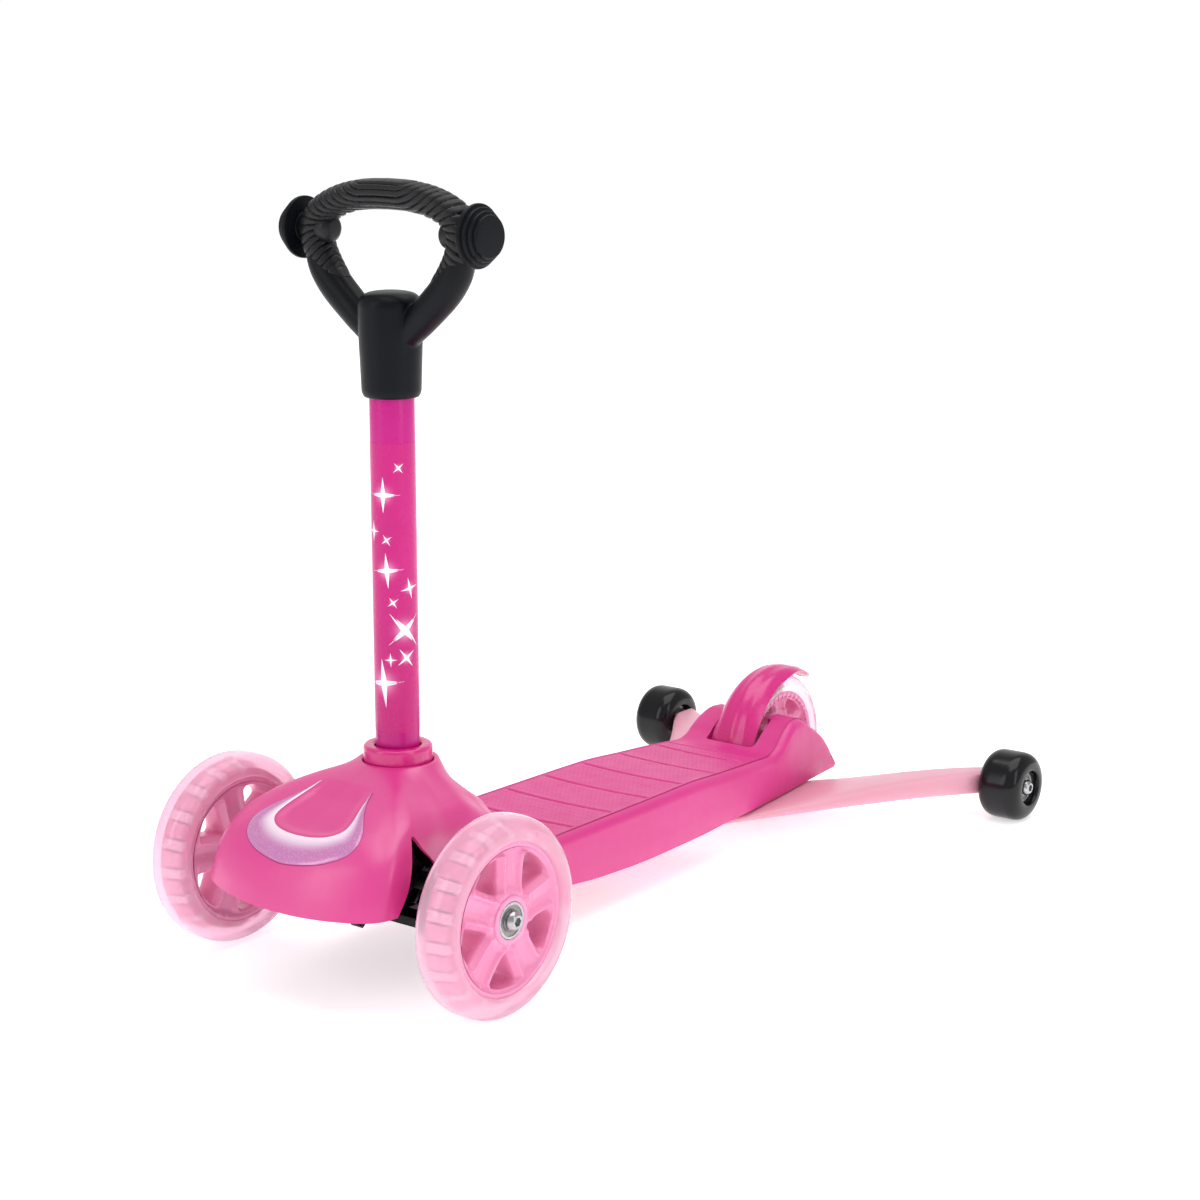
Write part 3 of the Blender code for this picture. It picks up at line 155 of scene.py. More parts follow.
# ---- Shapes -------------------------------------------------------------------------------------
BLOCK_FACES = [(0, 1, 2, 3), (4, 5, 6, 7), (0, 1, 5, 4), (1, 2, 6, 5), (2, 3, 7, 6), (3, 0, 4, 7)]
CLOSED_ENDS = (False, True, True, True)  # rows open, columns closed, both ends capped


class Shape:
    """Points and faces gathered from several surfaces, made into one object at the end."""

    def __init__(self):
        self.points = []
        self.faces = []
        self.kinds = []

    def add(self, points, faces, kind=0):
        start = len(self.points)
        self.points.extend(tuple(map(float, p)) for p in points)
        self.faces.extend(tuple(start + i for i in face) for face in faces)
        self.kinds.extend([kind] * len(faces))

    def grid(self, rows, close_rows=False, close_columns=False, cap_start=False, cap_end=False, kind=0):
        """A surface through rows of points, all of the same length."""
        rows = [list(row) for row in rows]
        wide = len(rows[0])
        tall = len(rows)
        points = [p for row in rows for p in row]
        faces = []
        for r in range(tall if close_rows else tall - 1):
            for c in range(wide if close_columns else wide - 1):
                a, b = r * wide + c, r * wide + (c + 1) % wide
                low = ((r + 1) % tall) * wide
                faces.append((a, b, low + (c + 1) % wide, low + c))
        if cap_start:
            faces.append(tuple(range(wide)))
        if cap_end:
            faces.append(tuple(reversed(range((tall - 1) * wide, tall * wide))))
        self.add(points, faces, kind)

    def lathe(self, profile, place, sides=64, closed=True, kind=0):
        """A profile of (radius, along) turned about an axis, where place turns (u, v, along) into a point."""
        rows = []
        for radius, along in profile:
            turns = [2 * math.pi * k / sides for k in range(sides)]
            rows.append([place(radius * math.cos(t), radius * math.sin(t), along) for t in turns])
        self.grid(rows, close_rows=closed, close_columns=True, kind=kind)

    def block(self, corners, kind=0):
        """A six-sided block from the corners of its two ends, each in order round the end."""
        self.add(corners, BLOCK_FACES, kind)

    def along_x(self, outline, low, high):
        """A closed outline of (y, z) points carried along X."""
        self.grid([[(x, y, z) for y, z in outline] for x in (low, high)], *CLOSED_ENDS)

    def build(self, name, materials, merge=0.002, angle=38):
        """The object, in metres in the row frame."""
        bm = bmesh.new()
        made = [bm.verts.new((x * MM, (y + FRONT_Y) * MM, z * MM)) for x, y, z in self.points]
        for face, kind in zip(self.faces, self.kinds):
            if len(set(face)) > 2:
                try:
                    bm.faces.new([made[i] for i in face]).material_index = kind
                except ValueError:
                    pass
        bmesh.ops.remove_doubles(bm, verts=bm.verts, dist=merge * MM)
        bmesh.ops.dissolve_degenerate(bm, edges=bm.edges, dist=merge * MM * 0.5)
        bmesh.ops.recalc_face_normals(bm, faces=bm.faces)
        mesh = bpy.data.meshes.new(name)
        bm.to_mesh(mesh)
        bm.free()
        mesh.shade_smooth()
        mesh.set_sharp_from_angle(angle=math.radians(angle))
        obj = bpy.data.objects.new(name, mesh)
        bpy.context.scene.collection.objects.link(obj)
        for material in materials if isinstance(materials, (list, tuple)) else [materials]:
            mesh.materials.append(material)
        return obj


def sleeve_profile(inner, outer, start, end, ease, top_outer=None):
    """The section of a tube, which may widen towards its end."""
    wide = outer if top_outer is None else top_outer
    return rounded([(inner, start), (outer, start), (wide, end), (inner, end)], ease, 3, True)


def drill(name, place, radius, start, end, sides=32):
    """A solid round bar, used to cut a hole."""
    bar = Shape()
    bar.lathe(
        [(0.001, start), (radius, start), (radius, end), (0.001, end)], place, sides, closed=False
    )
    return bar.build(name, [])


def face_up(obj):
    """Turns an open surface's normals upwards."""
    if obj.data.polygons[len(obj.data.polygons) // 2].normal.z < 0:
        obj.data.flip_normals()


def attach(obj, body, slot, *nodes):
    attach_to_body(obj, body)
    if nodes:
        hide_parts(*nodes)
    return obj


def bake(obj, angle=38):
    """The object with its modifiers made part of its mesh."""
    bpy.context.view_layer.update()
    graph = bpy.context.evaluated_depsgraph_get()
    mesh = bpy.data.meshes.new_from_object(obj.evaluated_get(graph))
    old = obj.data
    obj.modifiers.clear()
    obj.data = mesh
    bpy.data.meshes.remove(old)
    mesh.shade_smooth()
    mesh.set_sharp_from_angle(angle=math.radians(angle))
    return obj


def combined(obj, others, operation="DIFFERENCE", solver="EXACT", angle=38):
    """The object cut by, or joined to, others, which are then removed."""
    for other in others:
        modifier = obj.modifiers.new("boolean", "BOOLEAN")
        modifier.operation = operation
        modifier.solver = solver
        modifier.object = other
    bake(obj, angle)
    for other in others:
        bpy.data.objects.remove(other)
    return obj


def remeshed(obj, voxel, smoothing):
    """The object's pieces run together into one skin, with small fillets where they meet."""
    remesh = obj.modifiers.new("remesh", "REMESH")
    remesh.mode = "VOXEL"
    remesh.voxel_size = voxel * MM
    remesh.use_smooth_shade = True
    ease = obj.modifiers.new("ease", "SMOOTH")
    ease.factor = 0.5
    ease.iterations = smoothing
    return bake(obj, 180)


def on_x(side, centre_y, centre_z):
    """Turns about a line along X. Along is counted outwards on that side."""
    return lambda u, v, along: (side * along, centre_y + u, centre_z + v)


def on_z(x, y):
    return lambda u, v, along: (x + u, y + v, along)


def over(node):
    """Turns about the upright line through a node's middle."""
    centre = node_centre(node)
    return on_z(centre[0], centre[1] - FRONT_Y)


def on_y(x, z):
    return lambda u, v, along: (x + u, along, z + v)


# ---- Materials ----------------------------------------------------------------------------------
def linear(colour):
    """Screen colour, 0 to 255, as scene values."""
    return tuple(
        (c / 255 / 12.92 if c / 255 <= 0.04045 else ((c / 255 + 0.055) / 1.055) ** 2.4) for c in colour
    ) + (1.0,)


class Nodes:
    """A short way to write a material's nodes."""

    def __init__(self, name):
        self.material = bpy.data.materials.new(name)
        self.material.use_nodes = True
        self.tree = self.material.node_tree
        self.shader = self.tree.nodes["Principled BSDF"]
        self.place = self.node("ShaderNodeTexCoord").outputs["Object"]

    def node(self, kind, **settings):
        made = self.tree.nodes.new(kind)
        for key, value in settings.items():
            setattr(made, key, value)
        return made

    def link(self, source, target):
        self.tree.links.new(source, target)

    def noise(self, scale, detail=3.0, roughness=0.5, stretch=None):
        noise = self.node("ShaderNodeTexNoise")
        noise.inputs["Scale"].default_value = scale
        noise.inputs["Detail"].default_value = detail
        noise.inputs["Roughness"].default_value = roughness
        place = self.place
        if stretch:
            mapping = self.node("ShaderNodeMapping")
            mapping.inputs["Scale"].default_value = stretch
            self.link(self.place, mapping.inputs["Vector"])
            place = mapping.outputs["Vector"]
        self.link(place, noise.inputs["Vector"])
        return noise.outputs["Fac"]

    def spread(self, source, low, high, start=0.3, end=0.7):
        """A value from low to high as the source goes from start to end."""
        made = self.node("ShaderNodeMapRange")
        for key, value in (("From Min", start), ("From Max", end), ("To Min", low), ("To Max", high)):
            made.inputs[key].default_value = value
        self.link(source, made.inputs["Value"])
        return made.outputs["Result"]

    def mix(self, factor, first, second, blend="MIX"):
        """Two colours mixed. Each is a colour or a socket."""
        made = self.node("ShaderNodeMix", data_type="RGBA", blend_type=blend)
        self.link(factor, made.inputs["Factor"])
        for socket, value in ((made.inputs[6], first), (made.inputs[7], second)):
            if isinstance(value, tuple):
                socket.default_value = value
            else:
                self.link(value, socket)
        return made.outputs[2]

    def math(self, operation, first, second=0.0):
        made = self.node("ShaderNodeMath", operation=operation)
        for socket, value in zip(made.inputs, (first, second)):
            if isinstance(value, (int, float)):
                socket.default_value = value
            else:
                self.link(value, socket)
        return made.outputs[0]

    def bump(self, height, distance, strength=1.0, below=None):
        made = self.node("ShaderNodeBump")
        made.inputs["Distance"].default_value = distance * MM
        made.inputs["Strength"].default_value = strength
        self.link(height, made.inputs["Height"])
        if below is not None:
            self.link(below, made.inputs["Normal"])
        self.link(made.outputs["Normal"], self.shader.inputs["Normal"])
        return made.outputs["Normal"]

    def base(self, source, colour, deeper):
        """Base colour, from one screen colour to another with the source."""
        tint = self.mix(self.spread(source, 0, 1), linear(colour), linear(deeper))
        self.link(tint, self.shader.inputs["Base Color"])

    def rough(self, source, low, high):
        self.link(self.spread(source, low, high), self.shader.inputs["Roughness"])

    def set(self, **values):
        names = {
            "metallic": "Metallic",
            "ior": "IOR",
            "transmission": "Transmission Weight",
            "coat": "Coat Weight",
            "coat_roughness": "Coat Roughness",
            "subsurface": "Subsurface Weight",
            "subsurface_scale": "Subsurface Scale",
            "specular": "Specular IOR Level",
            "emission": "Emission Strength",
        }
        for key, value in values.items():
            self.shader.inputs[names[key]].default_value = value
        return self


def moulded(
    name, colour, deeper, roughness, grain=0.010, coat=0.0, subsurface=0.0, waves=0.0, shine=0.5
):
    """Injection-moulded plastic: faint flow marks, fine grain and uneven gloss."""
    nodes = Nodes(name)
    flow = nodes.noise(16, 2.0, 0.5)
    tint = nodes.mix(nodes.spread(flow, 0, 1), linear(colour), linear(deeper))
    speck = nodes.noise(420, 2.0, 0.6)
    tint = nodes.mix(nodes.spread(speck, 0, 0.10, 0.45, 0.75), tint, linear(deeper))
    nodes.link(tint, nodes.shader.inputs["Base Color"])
    gloss = nodes.noise(90, 3.0, 0.6)
    nodes.rough(gloss, roughness - 0.05, roughness + 0.06)
    grained = nodes.bump(nodes.noise(1700, 2.0, 0.5), grain)
    if waves:
        nodes.bump(nodes.noise(28, 2.0, 0.4), waves, below=grained)
    if subsurface:
        radius = nodes.shader.inputs["Subsurface Radius"]
        radius.default_value = (1.0, 0.45, 0.6)
        nodes.set(subsurface=subsurface, subsurface_scale=0.006)
    nodes.set(coat=coat, coat_roughness=0.08, specular=shine)
    return nodes.material


def polyurethane(name, colour, deeper, clear, roughness):
    """Cast see-through wheel rubber, a little cloudy."""
    nodes = Nodes(name)
    cloud = nodes.noise(55, 3.0, 0.55)
    nodes.base(cloud, colour, deeper)
    nodes.rough(nodes.noise(140, 2.0), roughness - 0.03, roughness + 0.06)
    nodes.bump(nodes.noise(60, 2.0), 0.05)
    nodes.set(transmission=clear, ior=1.22, specular=0.5, coat=0.5, coat_roughness=0.05)
    return nodes.material


def steel(name, colour=(190, 190, 192), roughness=0.28, stretch=(1, 1, 1), scale=900, bump=0.004):
    nodes = Nodes(name)
    fine = nodes.noise(scale, 3.0, 0.6, stretch)
    dull = tuple(int(c * 0.80) for c in colour)
    nodes.base(fine, colour, dull)
    nodes.rough(nodes.noise(260, 3.0), roughness - 0.08, roughness + 0.10)
    nodes.bump(fine, bump)
    nodes.set(metallic=1.0)
    return nodes.material


def rubber(name, colour, deeper, roughness):
    nodes = Nodes(name)
    cloud = nodes.noise(120, 3.0, 0.6)
    nodes.base(cloud, colour, deeper)
    nodes.rough(nodes.noise(300, 2.0), roughness - 0.06, roughness + 0.08)
    nodes.bump(nodes.noise(1500, 3.0, 0.6), 0.02)
    nodes.set(specular=0.28)
    return nodes.material


def attribute_mixed(name, base, second, roughness, coat):
    """Glossy lacquer whose colour goes to the second one with the mesh's mark attribute."""
    nodes = Nodes(name)
    mark = nodes.node("ShaderNodeAttribute", attribute_name="mark")
    cloud = nodes.noise(30, 2.0)
    deeper = tuple(int(c * 0.95) for c in base)
    ground = nodes.mix(nodes.spread(cloud, 0, 1), linear(base), linear(deeper))
    nodes.link(
        nodes.mix(mark.outputs["Fac"], ground, linear(second)), nodes.shader.inputs["Base Color"]
    )
    nodes.rough(nodes.noise(70, 2.0), roughness - 0.04, roughness + 0.05)
    nodes.bump(nodes.noise(45, 2.0, 0.4), 0.012)
    nodes.set(coat=coat, coat_roughness=0.06, specular=0.3)
    return nodes.material


PINK = moulded(
    "pink_plastic", (214, 48, 136), (210, 42, 130), 0.35, grain=0.012, subsurface=0.08, shine=0.95
)
DECK_PINK = moulded(
    "deck_plastic", (208, 42, 132), (204, 36, 126), 0.42, grain=0.016, subsurface=0.08, shine=0.65
)
BRAKE_PINK = moulded(
    "brake_plastic", (206, 32, 126), (201, 27, 120), 0.27, grain=0.004, coat=0.15, waves=0.10
)
COLLAR_PINK = moulded("collar_plastic", (214, 30, 130), (208, 24, 122), 0.28, grain=0.004, coat=0.3)
PALE_PINK = moulded(
    "pale_pink_plastic", (224, 162, 180), (220, 154, 173), 0.33, grain=0.006, subsurface=0.25
)
TUBE_PAINT = moulded(
    "tube_paint", (196, 26, 132), (190, 20, 126), 0.30, grain=0.004, coat=0.06, shine=0.3
)
CORE_PINK = moulded(
    "wheel_core_plastic", (240, 150, 190), (236, 142, 184), 0.24, grain=0.002, subsurface=0.12
)
REAR_CORE = moulded(
    "rear_core_plastic", (246, 160, 200), (242, 150, 192), 0.24, grain=0.002, subsurface=0.12
)
TYRE = polyurethane("pink_polyurethane", (253, 210, 229), (252, 202, 224), 0.60, roughness=0.20)
REAR_TYRE = polyurethane("clear_polyurethane", (255, 236, 245), (254, 230, 241), 0.72, roughness=0.16)
LIGHTS_WHITE = moulded("light_pad_plastic", (255, 226, 239), (252, 219, 234), 0.3, grain=0.002)
PAD_PINK = moulded("pad_gap_plastic", (247, 170, 204), (243, 162, 198), 0.3, grain=0.002)
SEAM_PINK = moulded("seam_shade", (176, 40, 118), (166, 34, 110), 0.5, grain=0.004)
SLEEVE = attribute_mixed("column_film", (200, 18, 124), (255, 176, 220), 0.26, coat=0.05)
SPARKLE_WHITE = moulded("sparkle_white", (255, 250, 253), (252, 244, 250), 0.3, grain=0.002)
BLACK_PLASTIC = moulded("black_plastic", (12, 14, 19), (8, 10, 15), 0.38, grain=0.020, shine=0.14)
CHASSIS_BLACK = moulded("chassis_plastic", (16, 16, 19), (11, 11, 14), 0.38, grain=0.014, shine=0.18)
GRIP = rubber("grip_rubber", (27, 26, 29), (20, 19, 22), 0.42)
BLACK_WHEEL = moulded(
    "black_polyurethane", (15, 15, 18), (11, 11, 14), 0.18, grain=0.003, coat=0.04, shine=0.25
)
STEEL = steel("plated_steel")
SHIELD = steel("bearing_shield", (150, 148, 146), 0.36, scale=600)


def pearl_lacquer_with_painted_highlight():
    """Pearly lavender lacquer with a painted highlight: its colour turns pale and whitish towards the inner
    edge, following the mesh's mark attribute.
    """
    nodes = Nodes("lavender_lacquer")
    mark = nodes.node("ShaderNodeAttribute", attribute_name="mark").outputs["Fac"]
    flake = nodes.spread(nodes.noise(900, 2.0, 0.7), 0.0, 0.22, 0.45, 0.75)
    # Painted highlight: the lavender goes to a pale whitish pink where the mark attribute rises, towards the
    # inner edge.
    ground = nodes.mix(mark, linear((196, 120, 176)), linear((246, 226, 240)))
    nodes.link(nodes.mix(flake, ground, linear((238, 216, 236))), nodes.shader.inputs["Base Color"])
    nodes.rough(nodes.noise(60, 2.0), 0.20, 0.28)
    nodes.bump(nodes.noise(700, 2.0), 0.004)
    nodes.set(metallic=0.15, coat=0.5, coat_roughness=0.06)
    return nodes.material


LAVENDER = pearl_lacquer_with_painted_highlight()


# ---- Wheels -------------------------------------------------------------------------------------
BEARING_DEPTH = 7.0


def bearing(name, body, place, face, outward, *nodes):
    """A ball bearing: two steel races with a recessed shield between them."""

    def at(depth):
        return face - depth if outward else face + depth

    shape = Shape()
    for inner, outer, ease, sides in ((9.2, 11.0, 0.35, 56), (4.3, 6.3, 0.30, 48)):
        shape.lathe(sleeve_profile(inner, outer, at(BEARING_DEPTH), at(0), ease), place, sides)
    back = at(BEARING_DEPTH - 0.7)
    shield = [(6.2, back), (9.3, back), (9.3, at(0.5)), (8.3, at(0.7)), (7.2, at(0.55)), (6.2, at(0.8))]
    shape.lathe(rounded(shield, 0.12, 2, True), place, 56, kind=1)
    attach(shape.build(name, [STEEL, SHIELD]), body, "plated_steel", *nodes)


def bearing_pair(name, node, label, body, place):
    """The outer and inner bearing of a wheel on one side."""
    for part, outward in (("outer", True), ("inner", False)):
        source = f"{node}_{part}_{label}"
        face = node_span(source)[1 if outward else 0]
        bearing(f"{name}_{part}_{label}", body, place, face, outward, source)


HEAD_HEIGHT = 4.2
SHANK_RADIUS = 4.0
SOCKET_DEPTH = 2.1


def axle_bolt(name, body, node, place, radius, socket):
    """A bolt in place of a CAD one: a domed head with a six-sided socket, and its shank."""
    count = 48
    inner_end, top = node_span(node)
    base = top - HEAD_HEIGHT
    dome = [
        (radius - 0.1, base),
        (radius, base + 0.25),
        (radius, base + 0.30 * HEAD_HEIGHT),
        (radius * 0.86, base + 0.70 * HEAD_HEIGHT),
        (socket * 1.5, base + HEAD_HEIGHT),
        (socket * 1.22, base + HEAD_HEIGHT),
    ]
    profile = [
        (SHANK_RADIUS, inner_end), (SHANK_RADIUS, base),
    ] + rounded(dome, [0, 0.2, 0.7, 1.2, 0.6, 0], 4)
    turns = [2 * math.pi * k / count for k in range(count)]
    rows = [[place(r * math.cos(t), r * math.sin(t), along) for t in turns] for r, along in profile]
    for share, drop in ((1.0, 0.10), (0.97, 0.45), (0.95, SOCKET_DEPTH)):
        row = []
        for t in turns:
            sector = (t % (math.pi / 3)) - math.pi / 6
            r = socket * share * math.cos(math.pi / 6) / math.cos(sector) * 1.12
            row.append(place(r * math.cos(t), r * math.sin(t), base + HEAD_HEIGHT - drop))
        rows.append(row)
    rows.append([place(0, 0, base + HEAD_HEIGHT - SOCKET_DEPTH)] * count)
    bolt = Shape()
    bolt.grid([[place(0, 0, inner_end)] * count] + rows, close_columns=True)
    attach(bolt.build(name, STEEL), body, "plated_steel", node)


def wheel_size(node):
    """A wheel's place in Y and Z, its distance from the middle plane, and half its width."""
    low, high = node_box(node)
    centre = (low + high) / 2
    return centre[1] - FRONT_Y, centre[2], abs(centre[0]), (high[0] - low[0]) / 2


def crowned(outer, steps, radius, x, half):
    """A tyre's smoothed section from the points of one half, kept inside the CAD tyre."""
    outline = outer + [(r, -a) for r, a in reversed(outer[:-1])]
    return [(min(r, radius), x + min(max(a, -half), half)) for r, a in spline(outline, steps)]


def tyre(name, body, slot, place, x, radius, half, seat, material, node):
    """A cast tyre with a crowned tread and soft shoulders."""
    outer = [
        (seat + 0.35, half - 3.2),
        (seat + 1.6, half - 1.1),
        (seat + 4.3, half - 0.1),
        (radius - 7.0, half - 0.25),
        (radius - 3.4, half - 2.3),
        (radius - 1.0, half - 5.6),
        (radius - 0.12, half - 9.4),
        (radius, 0.0),
    ]
    shape = Shape()
    shape.lathe(crowned(outer, 5, radius, x, half), place, 128)
    attach(shape.build(name, material, angle=60), body, slot, node)


def spoked_core(shape, place, x, hub, bore, rim, half, hub_half, web, count, phase, rib_height):
    """A moulded wheel with broad spokes, each with a pair of raised ribs."""
    near, far = hub + 4.4, rim - 1.6
    opening = smooth_table(
        [
            (near, 0), (near + 1.0, 4.0), (near + 4.5, 9.0), (far - 7.5, 16.0), (far - 3.0, 17.2),
            (far - 0.8, 12.5), (far, 0),
        ]
    )
    face = smooth_table(
        [
            (hub - 1.5, hub_half - 0.2), (hub, hub_half - 1.2), (hub + 2.0, web + 2.0),
            (hub + 5, web + 0.2), ((hub + rim) / 2, web - 0.6), (rim - 4, web - 0.4),
            (rim - 1.2, web + 0.8), (rim + 0.2, web + 2.2),
        ]
    )
    ends = [near, near + 0.3, near + 0.7, near + 1.2, far - 1.3, far - 0.7, far - 0.3, far - 0.1, far]
    bands = ((hub - 1.5, near, 7), (near, far, 26), (far, rim + 0.2, 6))
    radii = sorted(set(ends).union(*(np.linspace(*band) for band in bands)))
    shares = np.linspace(-1, 1, 33)
    sector = 360 / count

    def spoke_point(middle, r, share, depth):
        """A point at a share of the way across a spoke. Depth is 1 on the outer face, -1 on the inner."""
        gap = float(opening(r)) if near < r < far else 0.0
        angle = math.radians(middle + share * (sector / 2 - gap))
        fade = smoothstep(hub - 0.5, hub + 3.0, r) * (1 - smoothstep(rim - 3.5, rim - 0.5, r))
        rib = rib_height * fade * math.exp(-(((abs(share) - 0.66) / 0.15) ** 2))
        dip = 1.3 * fade * math.exp(-((share / 0.30) ** 2))
        edge = 1.2 * smoothstep(0.90, 1.0, abs(share)) if gap else 0.0
        level = float(face(r)) + rib - dip - edge
        return place(r * math.cos(angle), r * math.sin(angle), x + depth * level)

    for n in range(count):
        middle = phase + sector * n
        for depth in (1, -1):
            shape.grid([[spoke_point(middle, r, t, depth) for t in shares] for r in radii])
        for t in (-1, 1):
            for low, high in zip(radii, radii[1:]):
                if near <= low and high <= far:
                    shape.grid(
                        [
                            [
                                spoke_point(middle, r, t, k) for k in (-1, -0.5, 0, 0.5, 1)
                            ] for r in (low, high)
                        ]
                    )
    hub_profile = [
        (bore, x - hub_half),
        (hub - 0.2, x - hub_half),
        (hub + 0.1, x - hub_half + 2.2),
        (hub + 0.1, x + hub_half - 2.2),
        (hub - 0.2, x + hub_half),
        (bore, x + hub_half),
    ]
    shape.lathe(rounded(hub_profile, [0.4, 1.1, 0, 0, 1.1, 0.4], 4, True), place, 96)
    barrel = [
        (rim, x - half + 0.4),
        (rim + 1.2, x - half),
        (rim + 4.0, x - half + 0.2),
        (rim + 5.0, x - half + 2.6),
        (rim + 5.0, x + half - 2.6),
        (rim + 4.0, x + half - 0.2),
        (rim + 1.2, x + half),
        (rim, x + half - 0.4),
    ]
    shape.lathe(rounded(barrel, [0.6, 0.5, 1.0, 0.5, 0.5, 1.0, 0.5, 0.6], 3, True), place, 96)


FRONT_PADS = 18  # pale pads in a front tyre, with as many gaps
REAR_PADS = 40


def front_wheel(label, side):
    body = f"front_wheel_{label}"
    y, z, x, half = wheel_size(f"front_tyre_{label}")
    place = on_x(side, y, z)
    tyre(f"tyre_front_{label}", body, "pink_tyre", place, x, z, half, 44.6, TYRE, f"front_tyre_{label}")
    core = Shape()
    hub_half = wheel_size(f"front_wheel_core_{label}")[3]
    phase = 11 if side > 0 else 30
    spoked_core(core, place, x, 14.7, 11.15, 42.4, half - 2.9, hub_half, 8.4, 5, phase, 3.0)
    attach(
        core.build(f"wheel_core_front_{label}", CORE_PINK, angle=50), body, "wheel_core",
        f"front_wheel_core_{label}"
    )
    pads = Shape()
    for n in range(2 * FRONT_PADS):
        angle = math.pi * (n + 0.5) / FRONT_PADS
        deep = n % 2
        spread = (4.6 if deep else 3.0) / 48.5
        reach = 5.4 if deep else 6.4
        corners = []
        for a in (-reach, reach):
            for r, t in (
                (46.6, -spread), (46.6, spread), (50.6, spread * 0.92), (50.6, -spread * 0.92)
            ):
                corners.append(place(r * math.cos(angle + t), r * math.sin(angle + t), x + a))
        pads.block(corners, deep)
    attach(pads.build(f"light_pads_{label}", [LIGHTS_WHITE, PAD_PINK]), body, "wheel_core")
    stem = Shape()
    angle = math.radians(64)
    spot = (51.6 * math.cos(angle), 51.6 * math.sin(angle))
    profile = rounded([(0, 0.2), (1.3, 0.2), (1.5, -1.2), (0, -1.2)], 0.25, 3)
    stem.lathe(
        profile, lambda u, v, along: place(spot[0] + u, spot[1] + v, x + half - 0.1 + along), 20,
        closed=False
    )
    attach(stem.build(f"gate_mark_{label}", CORE_PINK), body, "pink_tyre")
    bearing_pair("bearing", "front_bearing", label, body, place)
    axle_bolt(f"axle_bolt_{label}", f"knuckle_{label}", f"front_axle_bolt_{label}", place, 6.1, 2.6)


def rear_wheel():
    y, z, _, half = wheel_size("rear_tyre")
    place = on_x(1, y, z)
    tyre("tyre_rear", "rear_wheel", "clear_tyre", place, 0, z, half, 36.6, REAR_TYRE, "rear_tyre")
    core = Shape()
    spoked_core(core, place, 0, 14.7, 11.15, 33.6, half - 2.4, half, 6.4, 5, 20, 1.8)
    for n in range(REAR_PADS):
        angle = 2 * math.pi * n / REAR_PADS
        c, s = math.cos(angle), math.sin(angle)
        for turn in (1, -1):
            rows = []
            for along, r0, r1, spread in ((6.0, 33.0, 36.6, 1.5), (half - 2.1, 33.2, 36.4, 1.1)):
                ring = []
                for r, t in ((r0, -spread / 2), (r0, spread / 2), (r1, spread / 2), (r1, -spread / 2)):
                    ring.append(place(r * c - t * s, r * s + t * c, turn * along))
                rows.append(ring)
            core.grid(rows, *CLOSED_ENDS)
    attach(
        core.build("wheel_core_rear", REAR_CORE, angle=50), "rear_wheel", "wheel_core",
        "rear_wheel_core"
    )
    for label, side in SIDES:
        end = node_span(f"rear_bearing_{label}")[1]
        bearing(
            f"bearing_rear_{label}", "rear_wheel", on_x(side, y, z), end, True, f"rear_bearing_{label}"
        )


def stabiliser_wheel(label, side):
    body = f"stabiliser_wheel_{label}"
    y, radius, x, half = wheel_size(f"stabiliser_wheel_{label}")
    place = on_x(side, y, radius)
    shape = Shape()
    outer = [
        (13.0, half - 0.1),
        (15.6, half),
        (19.0, half - 0.7),
        (21.9, half - 2.4),
        (23.9, half - 5.0),
        (24.8, half - 8.0),
        (radius, half - 11.0),
        (radius, 0),
    ]
    inside = [(12.6, 0.6), (12.4, 4.4), (11.2, 4.5)]
    inside = [(r, a - half) for r, a in inside] + [(r, half - a) for r, a in reversed(inside)]
    inside = [(r, x + a) for r, a in rounded(inside, 0.3, 3)]
    shape.lathe(crowned(outer, 4, radius, x, half) + inside, place, 96)
    attach(
        shape.build(f"black_wheel_{label}", BLACK_WHEEL, angle=50), body, "black_wheel",
        f"stabiliser_wheel_{label}"
    )
    bearing_pair("bearing_tip", "stabiliser_bearing", label, body, place)
    axle_bolt(f"tip_bolt_{label}", "root", f"stabiliser_bolt_{label}", place, 5.7, 2.4)


# ---- Deck ---------------------------------------------------------------------------------------
DECK_TOP = 64.5
deck_half = smooth_table(
    [(84, 54), (230, 52), (290, 50), (333, 48), (360, 46), (400, 42), (430, 38), (480, 32.5)]
)
deck_rise = smooth_table(
    [
        (84, 0), (270, 0), (316, -2.5), (360, -5), (380, -6.3), (391, -3.2), (400, 3.5), (408, 8.6),
        (417, 11.8), (424, 11.6), (432, 9.0), (440, 4.6), (448, -0.5), (456, -5.0), (464, -10.8),
        (472, -19.5), (478, -28.5), (480, -32),
    ]
)
deck_skirt = smooth_table(
    [(84, 32), (132, 30), (170, 26.6), (225, 24.5), (285, 24.8), (330, 26.2), (480, 26.2)]
)
TREAD_START, TREAD_END = 118.0, 366.0
TREAD_DEPTH = 1.6
TREAD_GROOVES = (126, 150, 190, 230, 270, 311, 352)


def tread_half(y):
    return deck_half(y) - 6.3


def deck_ring(y, inset=0.0, drop=0.0, count=7):
    """One section of the deck, from one lower edge over the top to the other."""
    half = float(deck_half(y)) - inset
    top = DECK_TOP + float(deck_rise(y)) - inset
    bottom = float(deck_skirt(y)) - drop
    radius = min(7.0, 0.42 * (top - bottom))
    side = [(half - 2.4, bottom), (half - 0.9, bottom + 0.4), (half - 0.35, bottom + 1.6)]
    side += [(half, bottom + (top - bottom) * 0.35), (half, bottom + (top - bottom) * 0.6)]
    for n in range(count):
        turn = math.pi / 2 * n / (count - 1)
        side.append((half - radius * (1 - math.cos(turn)), top - 0.5 - radius * (1 - math.sin(turn))))
    sunk = TREAD_DEPTH * smoothstep(TREAD_START - 1, TREAD_START + 1, y)
    sunk *= 1 - smoothstep(TREAD_END - 1, TREAD_END + 1, y)
    edge = float(tread_half(y))
    side += [
        (edge + 0.5, top - 0.12), (edge - 0.25, top - 0.25), (edge - 0.5, top - 0.3 - sunk),
        (edge * 0.5, top - sunk),
    ]
    points = side + [(-a, b) for a, b in reversed(side)]
    return [(a, y, b) for a, b in points]


